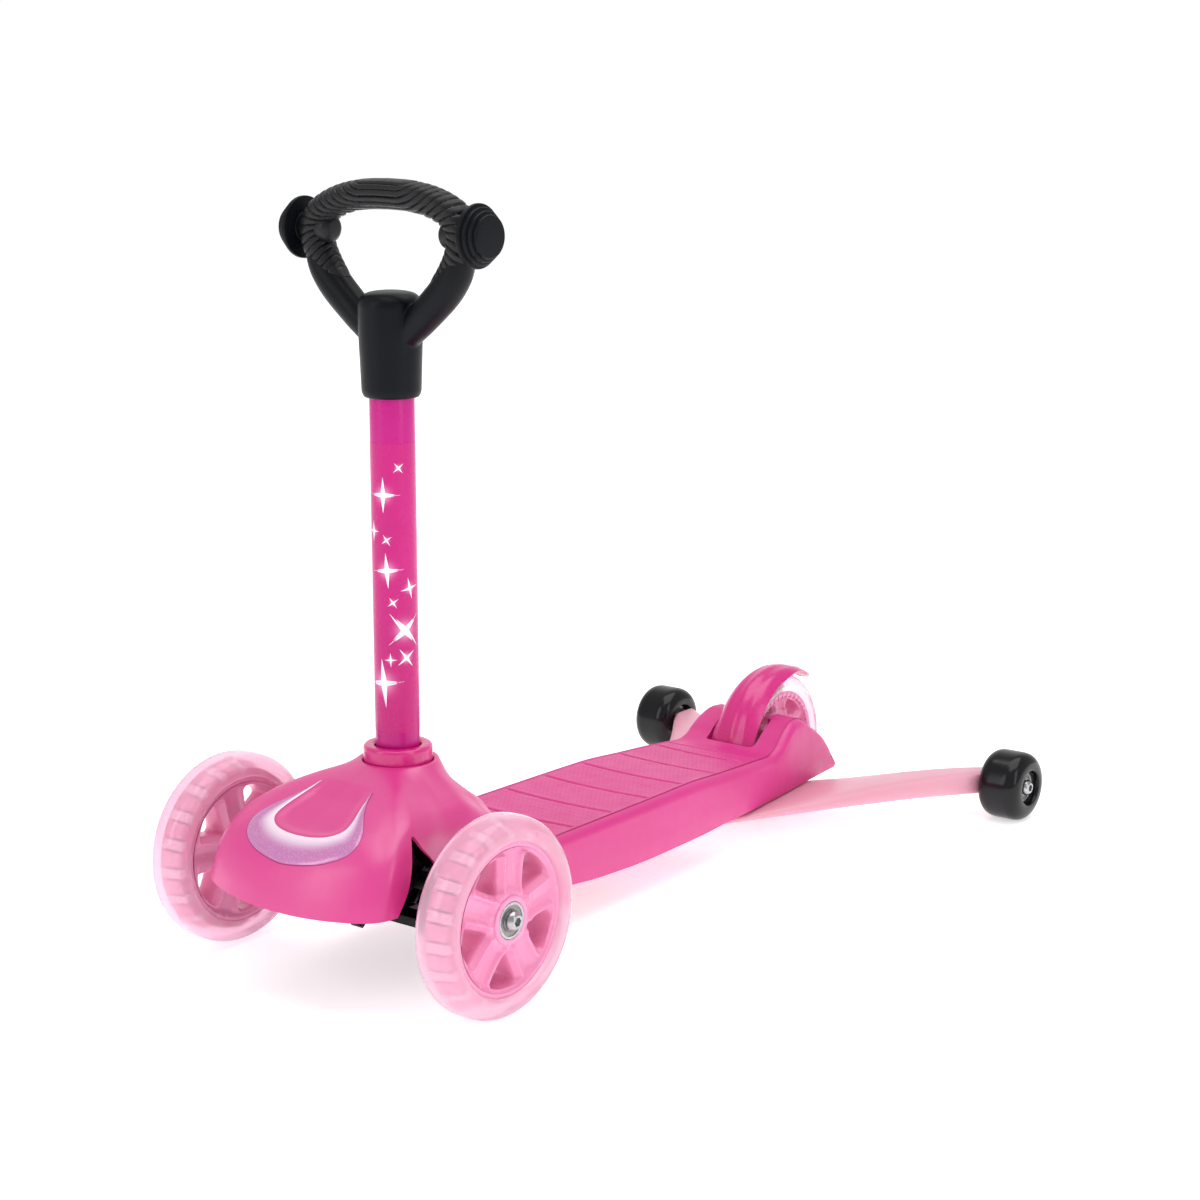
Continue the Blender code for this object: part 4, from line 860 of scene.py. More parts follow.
def box_corners(low, high):
    round_end = ((low[0], low[1]), (high[0], low[1]), (high[0], high[1]), (low[0], high[1]))
    return [(x, y, z) for z in (low[2], high[2]) for x, y in round_end]


def box_shape(name, low, high, ease=0.0):
    shape = Shape()
    shape.block(box_corners(low, high))
    obj = shape.build(name, [], angle=30)
    if ease:
        bevel = obj.modifiers.new("ease", "BEVEL")
        bevel.width = ease * MM
        bevel.segments = 4
        bake(obj)
    return obj


def prism_shape(name, outline, low, high):
    shape = Shape()
    shape.grid([[(x, y, z) for x, y in outline] for z in (low, high)], *CLOSED_ENDS)
    return shape.build(name, [])


def side_prism(name, outline, low, high):
    """An outline of (y, z) points carried along X."""
    shape = Shape()
    shape.along_x(outline, low, high)
    return shape.build(name, [])


def deck():
    stations = list(np.arange(84, 384, 4.0)) + list(np.arange(384, 480, 1.6)) + [480]
    stations = sorted(set(stations + [TREAD_START - 1, TREAD_START + 1, TREAD_END - 1, TREAD_END + 1]))
    skin = Shape()
    skin.grid([deck_ring(y) for y in stations], *CLOSED_ENDS)
    body = skin.build("deck_moulding", [DECK_PINK, CHASSIS_BLACK], angle=32)
    cutters = []
    spans = [(88, 166), (170, 226), (230, 286), (290, 338), (342, 374.3)]
    for n, (start, end) in enumerate(spans):
        hollow = Shape()
        places = [start] + [y for y in stations if start < y < end] + [end]
        rows = [deck_ring(y, inset=4.0, drop=12.0) for y in places]
        hollow.grid(rows, *CLOSED_ENDS)
        cutters.append(hollow.build(f"hollow_{n}", []))
    rooms = [
        ("wheel_room", (-16.5, 391, -5), (16.5, 495, 130), 1.2),
        ("brake_room", (-20.5, 387.2, 30), (20.5, 413, 130), 3.0),
        ("hinge_room", (-20.5, 378.3, 8), (20.5, 396, 51.7)),
        ("tongue_room", (-36, 80, 0), (36, 90, 50)),
        ("axle_way", (-28.8, 439.7, 0), (28.8, 448.3, 50)),
    ]
    cutters += [box_shape(*room) for room in rooms]
    for n, side in enumerate((1, -1)):
        corners = [
            (side * x, y) for x, y in ((23.5, 318.6), (30.5, 318.6), (30.5, 321.4), (23.5, 321.4))
        ]
        slot = rounded(corners, 1.3, 3, True)
        cutters.append(prism_shape(f"drain_{n}", slot, 50, 75))
    combined(body, cutters, angle=32)
    attach(body, "root", "pink_plastic", "deck")
    bosses = Shape()
    sizes = [(f"chassis_screw_{n}", 5.5, 48.6, 61.5, 6.4) for n in (1, 2, 3, 4)]
    sizes += [("beam_screw_1", 7.5, 25.9, 59.5, 8.4), ("beam_screw_2", 7.5, 25.9, 56.5, 8.4)]
    for node, outer, low, top, wide in sizes:
        bosses.lathe(sleeve_profile(2.5, outer, low, top, 0.5, wide), over(node), 32)
    attach(bosses.build("deck_bosses", DECK_PINK), "root", "pink_plastic")


def tread():
    """The sunk tread: panels of fine scales between grooves that bow towards the front."""
    step = 0.75
    ys = np.arange(TREAD_START, TREAD_END + 0.01, step)
    shares = np.linspace(-1, 1, 125)
    half = tread_half(ys)[:, None]
    x = shares[None, :] * (half - 0.45)
    y = np.repeat(ys[:, None], len(shares), axis=1)
    level = DECK_TOP + deck_rise(y) - 0.55
    cut = np.zeros_like(x)
    clear = np.full_like(x, np.inf)
    lift = np.zeros_like(x)
    for groove in TREAD_GROOVES:
        bow = 3.0 * (1 - (x / (half - 2)) ** 2)
        after = y - (groove + 0.8 - bow)
        distance = np.abs(after)
        clear = np.minimum(clear, distance)
        reach = 1 - smoothstep(0.90, 0.97, np.abs(x) / half)
        cut = np.maximum(cut, 1.45 * reach * (1 - smoothstep(0.45, 1.2, distance)))
        lift = np.maximum(lift, 0.45 * reach * np.exp(-((after - 2.2) / 1.6) ** 2) * (after > 0))
    # Scales: rows of small overlapping shells, each row half a scale on from the last.
    pitch_x, pitch_y = 3.6, 2.6
    row_number = np.floor(y / pitch_y)
    u = (x / pitch_x + 0.5 * (row_number % 2)) % 1.0 - 0.5
    v = (y / pitch_y) % 1.0
    shell = np.clip(1 - (u / 0.5) ** 2 - (1 - v) ** 2 * 0.9, 0, 1) ** 0.5
    shown = smoothstep(2.2, 3.6, clear) * (1 - smoothstep(0.84, 0.94, np.abs(x) / half))
    shown = shown * smoothstep(TREAD_START + 8, TREAD_START + 12, y)
    z = level - cut + lift * 0.6 + 0.26 * shell * shown
    rows = list(np.stack([x, y, z], axis=2))
    shape = Shape()
    skirt_low = [[(p[0], p[1], p[2] - 1.5) for p in rows[0]]]
    skirt_high = [[(p[0], p[1], p[2] - 1.5) for p in rows[-1]]]
    shape.grid(skirt_low + rows + skirt_high)
    for column in (0, -1):
        shape.grid(
            [[row[column], (row[column][0], row[column][1], row[column][2] - 1.5)] for row in rows]
        )
    obj = shape.build("tread_panel", DECK_PINK, angle=60)
    face_up(obj)
    attach(obj, "root", "pink_plastic")


# ---- Brake --------------------------------------------------------------------------------------
BRAKE_START, BRAKE_SWEEP = 178, 134  # degrees round the rear wheel, from the hinge to the tip


def brake():
    wheel_y, wheel_z = node_centre("rear_tyre")[1] - FRONT_Y, node_centre("rear_tyre")[2]
    crown = smooth_table([(0, 52.9), (0.7, 52.7), (0.9, 54.4), (1, 57.4)])
    half = smooth_table([(0, 18.4), (0.3, 17.4), (0.55, 15.6), (0.8, 12.4), (0.93, 9.0), (1, 4.6)])
    skirt = smooth_table([(0, 0.9), (0.25, 6.9), (0.6, 6.0), (0.8, 1.7), (1, 0.4)])
    rows = []
    count = 64
    across = np.linspace(-1, 1, 41)
    for n in range(count + 1):
        share = n / count
        angle = math.radians(BRAKE_START - BRAKE_SWEEP * share)
        base, wide, deep = float(crown(share)), float(half(share)), float(skirt(share))
        wall = 2.8 - 0.3 * share
        flute_fade = smoothstep(0.02, 0.12, share) * (1 - smoothstep(0.62, 0.86, share))
        outer, inner = [], []
        for t in across:
            bend = abs(t) ** 2.6
            flute = 0.42 * flute_fade * math.cos(t * math.pi * 3.0) * (1 - bend)
            rise = wall + 0.7 - bend * (deep + wall * 0.4) + flute
            outer.append((t * wide, base + rise))
            inner.append((t * (wide - wall * 0.7), base - abs(t) ** 4 * deep))
        ring = outer + list(reversed(inner))
        rows.append(
            [(x, wheel_y + r * math.cos(angle), wheel_z + r * math.sin(angle)) for x, r in ring]
        )
    shape = Shape()
    shape.grid(rows, *CLOSED_ENDS)
    lever = shape.build("brake_pedal", BRAKE_PINK, angle=50)
    low, high = node_box("brake_pin")
    pin_y, pin_z = (low[1] + high[1]) / 2 - FRONT_Y, (low[2] + high[2]) / 2
    hub = Shape()
    hub.lathe(sleeve_profile(2.9, 5.2, -11.5, 11.5, 0.5), on_x(1, pin_y, pin_z), 40)
    hub.block(box_corners((-11.3, pin_y + 3.2, pin_z - 1), (11.3, pin_y + 7.2, pin_z + 10)))
    attach(hub.build("brake_hinge", BRAKE_PINK), "brake", "pink_plastic")
    # The small raised eyelet near the tip.
    share = 0.90
    angle = math.radians(BRAKE_START - BRAKE_SWEEP * share)
    r = float(crown(share)) + 3.2
    spot = Vector((0, wheel_y + r * math.cos(angle), wheel_z + r * math.sin(angle)))
    out = Vector((0, math.cos(angle), math.sin(angle)))
    along = Vector((0, -math.sin(angle), math.cos(angle)))
    eyelet = Shape()
    profile = rounded([(1.1, -0.6), (2.4, -0.6), (2.3, 0.55), (1.3, 0.60), (1.1, 0.1)], 0.25, 3, True)
    eyelet.lathe(profile, lambda u, v, h: tuple(spot + Vector((u, 0, 0)) + along * v + out * h), 28)
    attach(eyelet.build("brake_eyelet", BRAKE_PINK), "brake", "pink_plastic")
    attach(lever, "brake", "pink_plastic", "brake_lever")


# ---- Stabiliser beam ----------------------------------------------------------------------------
def stabiliser_beam():
    low, high = node_box("stabiliser_beam")
    tip = high[0]
    front = smooth_table([(0, 301), (18, 305.5), (45, 345), (80, 412), (110, 467), (tip, 509)])
    rear = smooth_table([(0, 382), (19, 385), (28, 440), (45, 467), (80, 500), (110, 523), (tip, 540)])
    top = smooth_table([(0, 25.5), (40, 25.5), (60, 27.2), (80, 29.8), (110, 32.5), (tip, 33.5)])
    bottom = smooth_table([(0, 18.5), (45, 17.6), (80, 17.0), (tip, 16.5)])
    places = np.concatenate([np.linspace(-tip, -1, 70), [0], np.linspace(1, tip, 70)])
    rows = []
    for x in places:
        a, b = float(front(abs(x))), float(rear(abs(x)))
        t, u = float(top(abs(x))), float(bottom(abs(x)))
        ring = []
        ridge = smoothstep(24, 60, abs(x))
        for k in range(28):
            turn = 2 * math.pi * k / 28
            c, s = math.cos(turn), math.sin(turn)
            wide = np.sign(c) * abs(c) ** 0.62
            tall = np.sign(s) * abs(s) ** (0.55 + 0.30 * ridge)
            y = (a + b) / 2 + wide * (b - a) / 2
            z = (t + u) / 2 + tall * (t - u) / 2
            lean = 0.16 * ridge * (t - u) * (1 - abs(wide)) * (1 if s > 0 else 0)
            ring.append((x, y, min(z + lean * 0.3, t)))
        rows.append(ring)
    shape = Shape()
    shape.grid(rows, *CLOSED_ENDS)
    beam = shape.build("stabiliser_arms", PALE_PINK, angle=45)
    cutters = []
    for n, node in enumerate(("beam_screw_1", "beam_screw_2")):
        cutters.append(drill(f"screw_room_{n}", over(node), 4.6, 10, 21.5))
    combined(beam, cutters, angle=45)
    attach(beam, "root", "pale_pink_plastic", "stabiliser_beam")
    for label, side in SIDES:
        ends = node_span(f"stabiliser_insert_{label}")
        centre = node_centre(f"stabiliser_wheel_{label}")
        sleeve = Shape()
        profile = sleeve_profile(4.3, 5.8, ends[0], ends[1], 0.4)
        sleeve.lathe(profile, on_x(side, centre[1] - FRONT_Y, centre[2]), 40)
        attach(
            sleeve.build(f"tip_sleeve_{label}", STEEL), "root", "plated_steel",
            f"stabiliser_insert_{label}"
        )


# ---- Hood ---------------------------------------------------------------------------------------
COLUMN = node_centre("steering_column")[1] - FRONT_Y
RIM = 24.5
RIM_TOP = 127.5
HOOD_PLAN = [
    (0, -73.0), (20, -71.8), (40, -68.2), (58, -62.2), (68.5, -55.0), (71.5, -46.0), (69.0, -29.0),
    (65.0, -10.0), (60.8, 15.0), (58.8, 50.0), (58.2, 88.0), (55.5, 101.0), (47.0, 109.0),
    (26.0, 112.2), (0, 113.0),
]
HOOD_SHAPES = [
    smooth_table(
        [
            (0, 1), (0.24, 0.885), (0.44, 0.770), (0.60, 0.675), (0.745, 0.600), (0.85, 0.475),
            (0.906, 0.378), (0.957, 0.20), (1, 0),
        ]
    ),
    smooth_table(
        [
            (0, 1), (0.22, 0.920), (0.41, 0.840), (0.55, 0.765), (0.715, 0.640), (0.84, 0.500),
            (0.91, 0.370), (0.97, 0.18), (1, 0),
        ]
    ),
    smooth_table(
        [
            (0, 1), (0.20, 0.930), (0.40, 0.870), (0.60, 0.815), (0.74, 0.770), (0.86, 0.700),
            (0.93, 0.620), (0.98, 0.42), (1, 0),
        ]
    ),
    smooth_table(
        [
            (0, 1), (0.13, 0.820), (0.28, 0.730), (0.43, 0.645), (0.51, 0.565), (0.60, 0.490),
            (0.80, 0.370), (0.93, 0.28), (1, 0),
        ]
    ),
]
hood_turn = smooth_table(
    [(0, 0), (25, 0.55), (37, 1), (49, 1.82), (60, 2), (90, 2), (120, 2.4), (150, 3), (180, 3)]
)
hood_foot = smooth_table(
    [(-73, 60.4), (-62, 62.2), (-48, 63.5), (-30, 60.0), (0, 48.0), (20, 36.0), (113, 36.0)]
)


def hood_reach():
    """Distance of the lower edge from the column's axis, by direction."""
    half = spline([(x, y) for x, y in HOOD_PLAN], 10)
    pairs = sorted(
        (math.degrees(math.atan2(x, COLUMN - y)), math.hypot(x, COLUMN - y)) for x, y in half
    )
    kept = [pairs[0]]
    for pair in pairs[1:]:
        if pair[0] - kept[-1][0] > 0.2:
            kept.append(pair)
    kept[0] = (0.0, kept[0][1])
    kept[-1] = (180.0, kept[-1][1])
    return smooth_table(kept)


hood_out = hood_reach()


def hood_height(angle, share):
    """Height of the hood's skin at a direction from the column, 0 to 180, and a share of the way out."""
    place = hood_turn(angle)
    low = np.minimum(np.floor(place).astype(int), 2)
    part = place - low
    levels = np.array([shape(share) for shape in HOOD_SHAPES])
    index = np.arange(np.size(low))
    levels = levels.reshape(4, -1)
    row, part = low.reshape(-1), part.reshape(-1)
    height = levels[row, index] * (1 - part) + levels[row + 1, index] * part
    reach = hood_out(angle)
    y = COLUMN - reach * np.cos(np.radians(angle))
    foot = hood_foot(y).reshape(-1)
    return foot + (RIM_TOP - foot) * height


OUTER_EDGE = [
    (20.5, -8.0), (24.2, -16.6), (29.0, -24.5), (34.6, -31.2), (39.0, -36.5), (41.6, -41.2),
    (42.6, -46.0), (41.2, -50.4),
    (37.6, -54.0), (31.5, -57.6), (24.7, -60.3), (17.0, -62.2), (8.5, -63.5), (0, -64.2),
]
INNER_EDGE = [
    (20.5, -8.0), (22.6, -17.0), (24.8, -24.8), (26.8, -31.0), (27.9, -37.2), (26.7, -41.8),
    (22.6, -46.0), (17.0, -48.8), (9.0, -50.6), (0, -51.2),
]


def edge_points(points, count):
    """Evenly spread points of a smooth curve."""
    dense = np.array(spline(points, 24))
    lengths = np.concatenate([[0], np.cumsum(np.linalg.norm(np.diff(dense, axis=0), axis=1))])
    places = np.linspace(0, lengths[-1], count)
    return np.stack([np.interp(places, lengths, dense[:, k]) for k in (0, 1)], axis=1)


INNER_DENSE = edge_points(INNER_EDGE, 80)
INNER_HALF = smooth_table(sorted({round(float(y), 3): float(x) for x, y in INNER_DENSE[:60]}.items()))


def inside_distance(x, y):
    """How far a point of the plan lies inside the crescent's inner edge, in millimetres."""
    points = np.concatenate([INNER_DENSE, INNER_DENSE * [-1, 1]])
    flat = np.stack([x.reshape(-1), y.reshape(-1)], axis=1)
    distance = np.sqrt(((flat[:, None, :] - points[None, :, :]) ** 2).sum(axis=2)).min(axis=1)
    edge = np.array(INNER_DENSE)
    order = np.argsort(edge[:, 1])
    widest = np.interp(flat[:, 1], edge[order, 1], edge[order, 0])
    inside = (np.abs(flat[:, 0]) < widest) & (flat[:, 1] > -51.2) & (flat[:, 1] < -6)
    return (distance * inside).reshape(x.shape)


def hood_skin(angle, share, sink=True):
    """Points of the hood's skin: direction in degrees from -180 to 180, and share of the way out."""
    reach = hood_out(np.abs(angle))
    radius = RIM + (reach - RIM) * share
    x = radius * np.sin(np.radians(angle))
    y = COLUMN - radius * np.cos(np.radians(angle))
    z = hood_height(np.abs(angle).reshape(-1), share.reshape(-1)).reshape(x.shape)
    if sink:
        depth = inside_distance(x, y)
        fade = np.clip((-y - 4) / 14, 0, 1)
        z = z - 1.5 * smoothstep(0.4, 7.0, depth) * fade
        # The soft crease that runs from the rim down to the lower front corner.
        ridge = np.exp(
            -(((np.abs(angle) - 46) / 6.0) ** 2)
        ) * smoothstep(0.05, 0.35, share) * (1 - smoothstep(0.80, 0.98, share))
        z = z + 0.9 * ridge
    return x, y, z


def hood_z(x, y):
    """Height of the hood's skin over a point of the plan."""
    angle = np.degrees(np.arctan2(np.abs(x), COLUMN - y))
    radius = np.hypot(x, COLUMN - y)
    share = (radius - RIM) / (hood_out(angle) - RIM)
    return hood_skin(angle, np.clip(share, 0, 1))[2]


def hood_shell():
    angles = np.arange(-180, 180, 1.5)
    shares = np.concatenate(
        [np.linspace(0, 0.7, 44), np.linspace(0.715, 0.97, 26), [0.978, 0.985, 0.991, 0.996, 1.0]]
    )
    grid_angle, grid_share = np.meshgrid(angles, shares)
    x, y, z = hood_skin(grid_angle, grid_share)
    rows = list(np.stack([x, y, z], axis=2))
    rim = []
    lip = ((2.9, -4.0), (2.9, -0.7), (2.3, -0.1), (1.2, 0.1))
    for inset, lift in lip:
        radius, height = RIM - inset, RIM_TOP + lift
        turns = np.radians(angles)
        rim.append([(radius * math.sin(t), COLUMN - radius * math.cos(t), height) for t in turns])
    under = []
    for share in (1.0, 0.97, 0.9, 0.8, 0.65, 0.5, 0.3, 0.12, 0.0):
        ix, iy, iz = hood_skin(angles, np.full(len(angles), share), sink=False)
        distance = np.hypot(ix, COLUMN - iy)
        drawn = 1 - 2.6 / distance
        drop = 0.0 if share == 1.0 else 2.8
        under.append(np.column_stack([ix * drawn, COLUMN + (iy - COLUMN) * drawn, iz - drop]))
    shape = Shape()
    shape.grid(rim + rows + under, close_rows=True, close_columns=True)
    shell = shape.build("hood_moulding", PINK, angle=42)
    cutters = []
    arch = [
        (-49.0, 30.0), (-47.6, 52.0), (-45.6, 60.5), (-39.6, 66.6), (-31.6, 75.0), (-26.6, 86.0),
        (-24.0, 95.0), (-21.0, 102.0),
        (-19.0, 103.6), (-16.6, 101.4), (-12.6, 95.0), (-3.6, 86.2), (5.4, 76.4), (18.0, 70.0),
        (34.0, 63.4), (36.0, 30.0),
    ]
    outline = [tuple(p) for p in spline(arch[1:-1], 6)]
    outline = [arch[0]] + outline + [arch[-1]]
    for label, side in SIDES:
        ends = sorted((side * 46.0, side * 92.0))
        cutters.append(side_prism(f"arch_{label}", outline, *ends))
    deck_rows = [deck_ring(y, inset=-0.5, drop=22.0) for y in (82.0, 95.0, 110.0, 130.0)]
    room = Shape()
    room.grid(deck_rows, *CLOSED_ENDS)
    cutters.append(room.build("deck_room", []))
    combined(shell, cutters, angle=42)
    attach(shell, "root", "pink_plastic", "hood")


def inlay():
    """The pearly crescent, slightly dished along its middle, with a thin dark line round it."""
    count = 90
    outer, inner = edge_points(OUTER_EDGE, count), edge_points(INNER_EDGE, count)
    outer = np.concatenate([outer, (outer * [-1, 1])[::-1][1:]])
    inner = np.concatenate([inner, (inner * [-1, 1])[::-1][1:]])
    shares = np.linspace(0, 1, 17)
    rows = []
    for share in shares:
        line = outer + (inner - outer) * share
        z = hood_z(line[:, 0], line[:, 1])
        wide = np.linalg.norm(outer - inner, axis=1)
        dish = 0.30 * np.sin(np.pi * share) * np.clip(wide / 12, 0, 1)
        lip = 0.55 * (1 - abs(2 * share - 1) ** 6)
        rows.append(np.column_stack([line, z + lip - dish + 0.12]))
    base = [[(p[0], p[1], p[2] - 1.6) for p in rows[0]]]
    end = [[(p[0], p[1], p[2] - 1.6) for p in rows[-1]]]
    shape = Shape()
    shape.grid(base + rows + end)
    obj = shape.build("hood_crescent", LAVENDER, merge=0.0005, angle=70)
    face_up(obj)
    # The mark attribute is the mask of a painted highlight: it rises from the outer edge towards the inner
    # edge, where the lacquer is painted pale and whitish.
    attribute = obj.data.attributes.new("mark", "FLOAT", "POINT")
    lines = (outer, inner)
    for i, vertex in enumerate(obj.data.vertices):
        p = np.array([vertex.co.x / MM, vertex.co.y / MM - FRONT_Y])
        gap = [np.linalg.norm(line - p, axis=1).min() for line in lines]
        attribute.data[i].value = float(smoothstep(0.34, 0.90, gap[0] / max(gap[0] + gap[1], 1e-6)))
    attach(obj, "root", "lavender_inlay", "hood_inlay")
    seam = Shape()
    loop = np.concatenate([outer, inner[::-1][1:-1]])
    following = np.roll(loop, -1, axis=0) - np.roll(loop, 1, axis=0)
    length = np.linalg.norm(following, axis=1)[:, None]
    normal = np.stack([following[:, 1], -following[:, 0]], axis=1) / np.maximum(length, 1e-9)
    rows = []
    for offset, lift in ((-0.45, 0.02), (-0.2, 0.10), (0.2, 0.10), (0.45, 0.02)):
        line = loop + normal * offset
        z = hood_z(line[:, 0], line[:, 1])
        rows.append(np.column_stack([line, z + lift]))
    seam.grid(rows, close_columns=True)
    attach(seam.build("crescent_seam", SEAM_PINK, merge=0.0002, angle=80), "root", "pink_plastic")


# ---- Column -------------------------------------------------------------------------------------
TUBE = 13.5
SLEEVE_LOW, SLEEVE_HIGH = 146.0, 321.0
# Each sparkle: offset from the middle as the near side is faced, height, reach up and down, reach
# across, turn.
SPARKLES = (
    (3.1, 306.6, 4.2, 4.2, 40),
    (-6.2, 290.5, 10.8, 10.6, 0),
    (-11.8, 268.5, 6.4, 4.8, 0),
    (-4.6, 263.6, 4.0, 4.0, 35),
    (-4.7, 245.3, 10.8, 10.4, 4),
    (8.6, 234.3, 6.8, 6.4, 12),
    (-1.4, 226.1, 4.0, 4.0, 35),
    (5.4, 209.2, 14.0, 13.4, 42),
    (6.1, 192.2, 7.2, 7.0, 38),
    (-3.4, 191.2, 4.4, 4.2, 2),
    (-7.6, 176.8, 15.0, 13.0, 5),
)
STAR_WAIST = 0.19  # reach between two points, as a share of the reach of a point
FACING = math.atan2(-0.737, 0.676)


def column():
    top = node_box("steering_column")[1][2]
    low = node_box("steering_column")[0][2]
    place = on_z(0, COLUMN)
    tube = Shape()
    tube.lathe(sleeve_profile(12.2, TUBE - 0.12, low, top, 0.4), place, 96)
    attach(tube.build("column_tube", TUBE_PAINT), "column", "deep_pink", "steering_column")
    sleeve = Shape()
    profile = [
        (TUBE - 0.2, SLEEVE_LOW), (TUBE - 0.03, SLEEVE_LOW), (TUBE, SLEEVE_LOW + 0.15),
        (TUBE, SLEEVE_HIGH - 0.15), (TUBE - 0.03, SLEEVE_HIGH), (TUBE - 0.2, SLEEVE_HIGH),
    ]
    heights = list(np.arange(SLEEVE_LOW + 0.15, SLEEVE_HIGH - 0.15, 0.6))
    profile = profile[:3] + [(TUBE, h) for h in heights[1:]] + profile[3:]
    sleeve.lathe(profile, place, 144)
    obj = sleeve.build("column_sleeve", SLEEVE, merge=0.0005)
    attribute = obj.data.attributes.new("mark", "FLOAT", "POINT")
    glow = []
    for vertex in obj.data.vertices:
        angle = math.atan2(vertex.co.y / MM - FRONT_Y - COLUMN, vertex.co.x / MM)
        amount = 0.0
        for offset, height, tall, wide, _turn in SPARKLES:
            around = (
                (angle - FACING - math.asin(offset / TUBE) + math.pi) % (2 * math.pi) - math.pi
            ) * TUBE
            distance = math.hypot(around, vertex.co.z / MM - height)
            reach = 0.36 * max(tall, wide)
            amount = max(amount, 0.80 * math.exp(-((distance / reach) ** 2)))
        glow.append(amount)
    attribute.data.foreach_set("value", glow)
    attach(obj, "column", "deep_pink")
    stars = Shape()
    for offset, height, tall, wide, turn in SPARKLES:
        middle = FACING + math.asin(offset / TUBE)
        rows = []
        count = 64
        for share in (0.0, 0.2, 0.4, 0.6, 0.8, 0.92, 1.0):
            row = []
            for k in range(count):
                t = 2 * math.pi * k / count
                off = abs((t + math.pi / 4) % (math.pi / 2) - math.pi / 4)
                body = STAR_WAIST * math.sin(math.pi / 4)
                body /= math.sin(off) + STAR_WAIST * math.sin(math.pi / 4 - off)
                reach = tall if abs(math.sin(t)) > abs(math.cos(t)) else wide
                u, v = reach * body * share * math.cos(t), reach * body * share * math.sin(t)
                spin = math.radians(turn)
                u, v = u * math.cos(spin) - v * math.sin(spin), u * math.sin(spin) + v * math.cos(spin)
                angle = middle + u / TUBE
                r = TUBE + 0.07
                row.append((r * math.cos(angle), COLUMN + r * math.sin(angle), height + v))
            rows.append(row)
        stars.grid(rows, close_columns=True)
    made = stars.build("column_sparkles", SPARKLE_WHITE, merge=0.0002, angle=180)
    attach(made, "column", "deep_pink")
    collar = Shape()
    low, high = node_box("column_collar")
    top, bottom = high[2], low[2]
    inner, outer = TUBE + 0.45, 21.0
    profile = [
        (inner, bottom), (outer - 0.6, bottom), (outer, RIM_TOP), (outer, top), (inner + 1.2, top),
        (inner, top - 1.4),
    ]
    collar.lathe(rounded(profile, [0.3, 0.3, 0, 3.6, 1.2, 0.6], 6, True), place, 96)
    attach(collar.build("collar_ring", COLLAR_PINK, angle=60), "root", "deep_pink", "column_collar")


# ---- Handle -------------------------------------------------------------------------------------
LOOP = [
    (0.0, 464.5), (16.0, 463.9), (31.0, 461.7), (44.0, 457.3), (53.2, 451.4), (57.0, 443.6),
    (56.4, 435.0), (51.8, 424.8),
    (41.0, 410.5), (25.0, 395.5), (6.0, 378.5),
]


class LoopLine:
    """The handle's loop by distance from its top middle, on both sides."""

    def __init__(self):
        half = [np.array(p) for p in spline(LOOP, 14)]
        self.points = np.array([p * [-1, 1] for p in reversed(half[1:])] + half)
        steps = np.linalg.norm(np.diff(self.points, axis=0), axis=1)
        self.length = np.concatenate([[0], np.cumsum(steps)])
        self.half = self.length[-1] / 2

    def at(self, distance):
        """Point, direction and outward normal in (x, z), at a signed distance from the top middle."""
        place = np.clip(distance + self.half, 0, self.length[-1])
        point = np.array([np.interp(place, self.length, self.points[:, k]) for k in (0, 1)])
        low, high = max(place - 1.2, 0), min(place + 1.2, self.length[-1])
        ahead = np.array([np.interp(high, self.length, self.points[:, k]) for k in (0, 1)])
        behind = np.array([np.interp(low, self.length, self.points[:, k]) for k in (0, 1)])
        along = (ahead - behind) / np.linalg.norm(ahead - behind)
        return point, along, np.array([-along[1], along[0]])


LOOP_LINE = LoopLine()


def loop_distance(height):
    """Distance from the top at which the right half of the loop passes a height, on its way down."""
    for distance in np.arange(20, LOOP_LINE.half, 0.25):
        if LOOP_LINE.at(distance)[0][1] <= height:
            return distance
    return LOOP_LINE.half


def loop_table(first, by_height, last):
    """A smooth curve along the loop, with the points between its ends given by height."""
    return smooth_table(
        [first] + [(loop_distance(height), value) for height, value in by_height] + [last]
    )


def oval_ring(distance, thick, deep, shift=0.0, count=64, power=0.92, groove=None):
    point, _, normal = LOOP_LINE.at(distance)
    ring = []
    for k in range(count):
        turn = 2 * math.pi * k / count
        c, s = math.cos(turn), math.sin(turn)
        n = math.copysign(abs(c) ** power, c) * thick / 2 + shift
        y = math.copysign(abs(s) ** power, s) * deep / 2
        if groove:
            cut = groove(distance, turn)
            n -= cut * c
            y -= cut * s
        ring.append((point[0] + normal[0] * n, COLUMN + y, point[1] + normal[1] * n))
    return ring


def grip_groove(distance, turn):
    """Depth of the wave pattern: rings spaced outwards from an oval on the top middle."""
    around = ((turn + math.pi) % (2 * math.pi) - math.pi) * 10.4
    along = max(abs(distance) - 12.5, 0.0)
    ring = math.hypot(along, around) - 8.5
    if ring < -1.5:
        return 0.0
    phase = (ring / 4.5) % 1.0
    near = min(phase, 1 - phase)
    groove = math.exp(-((near / 0.12) ** 2))
    slope = 0.35 * phase
    return 1.25 * groove + slope


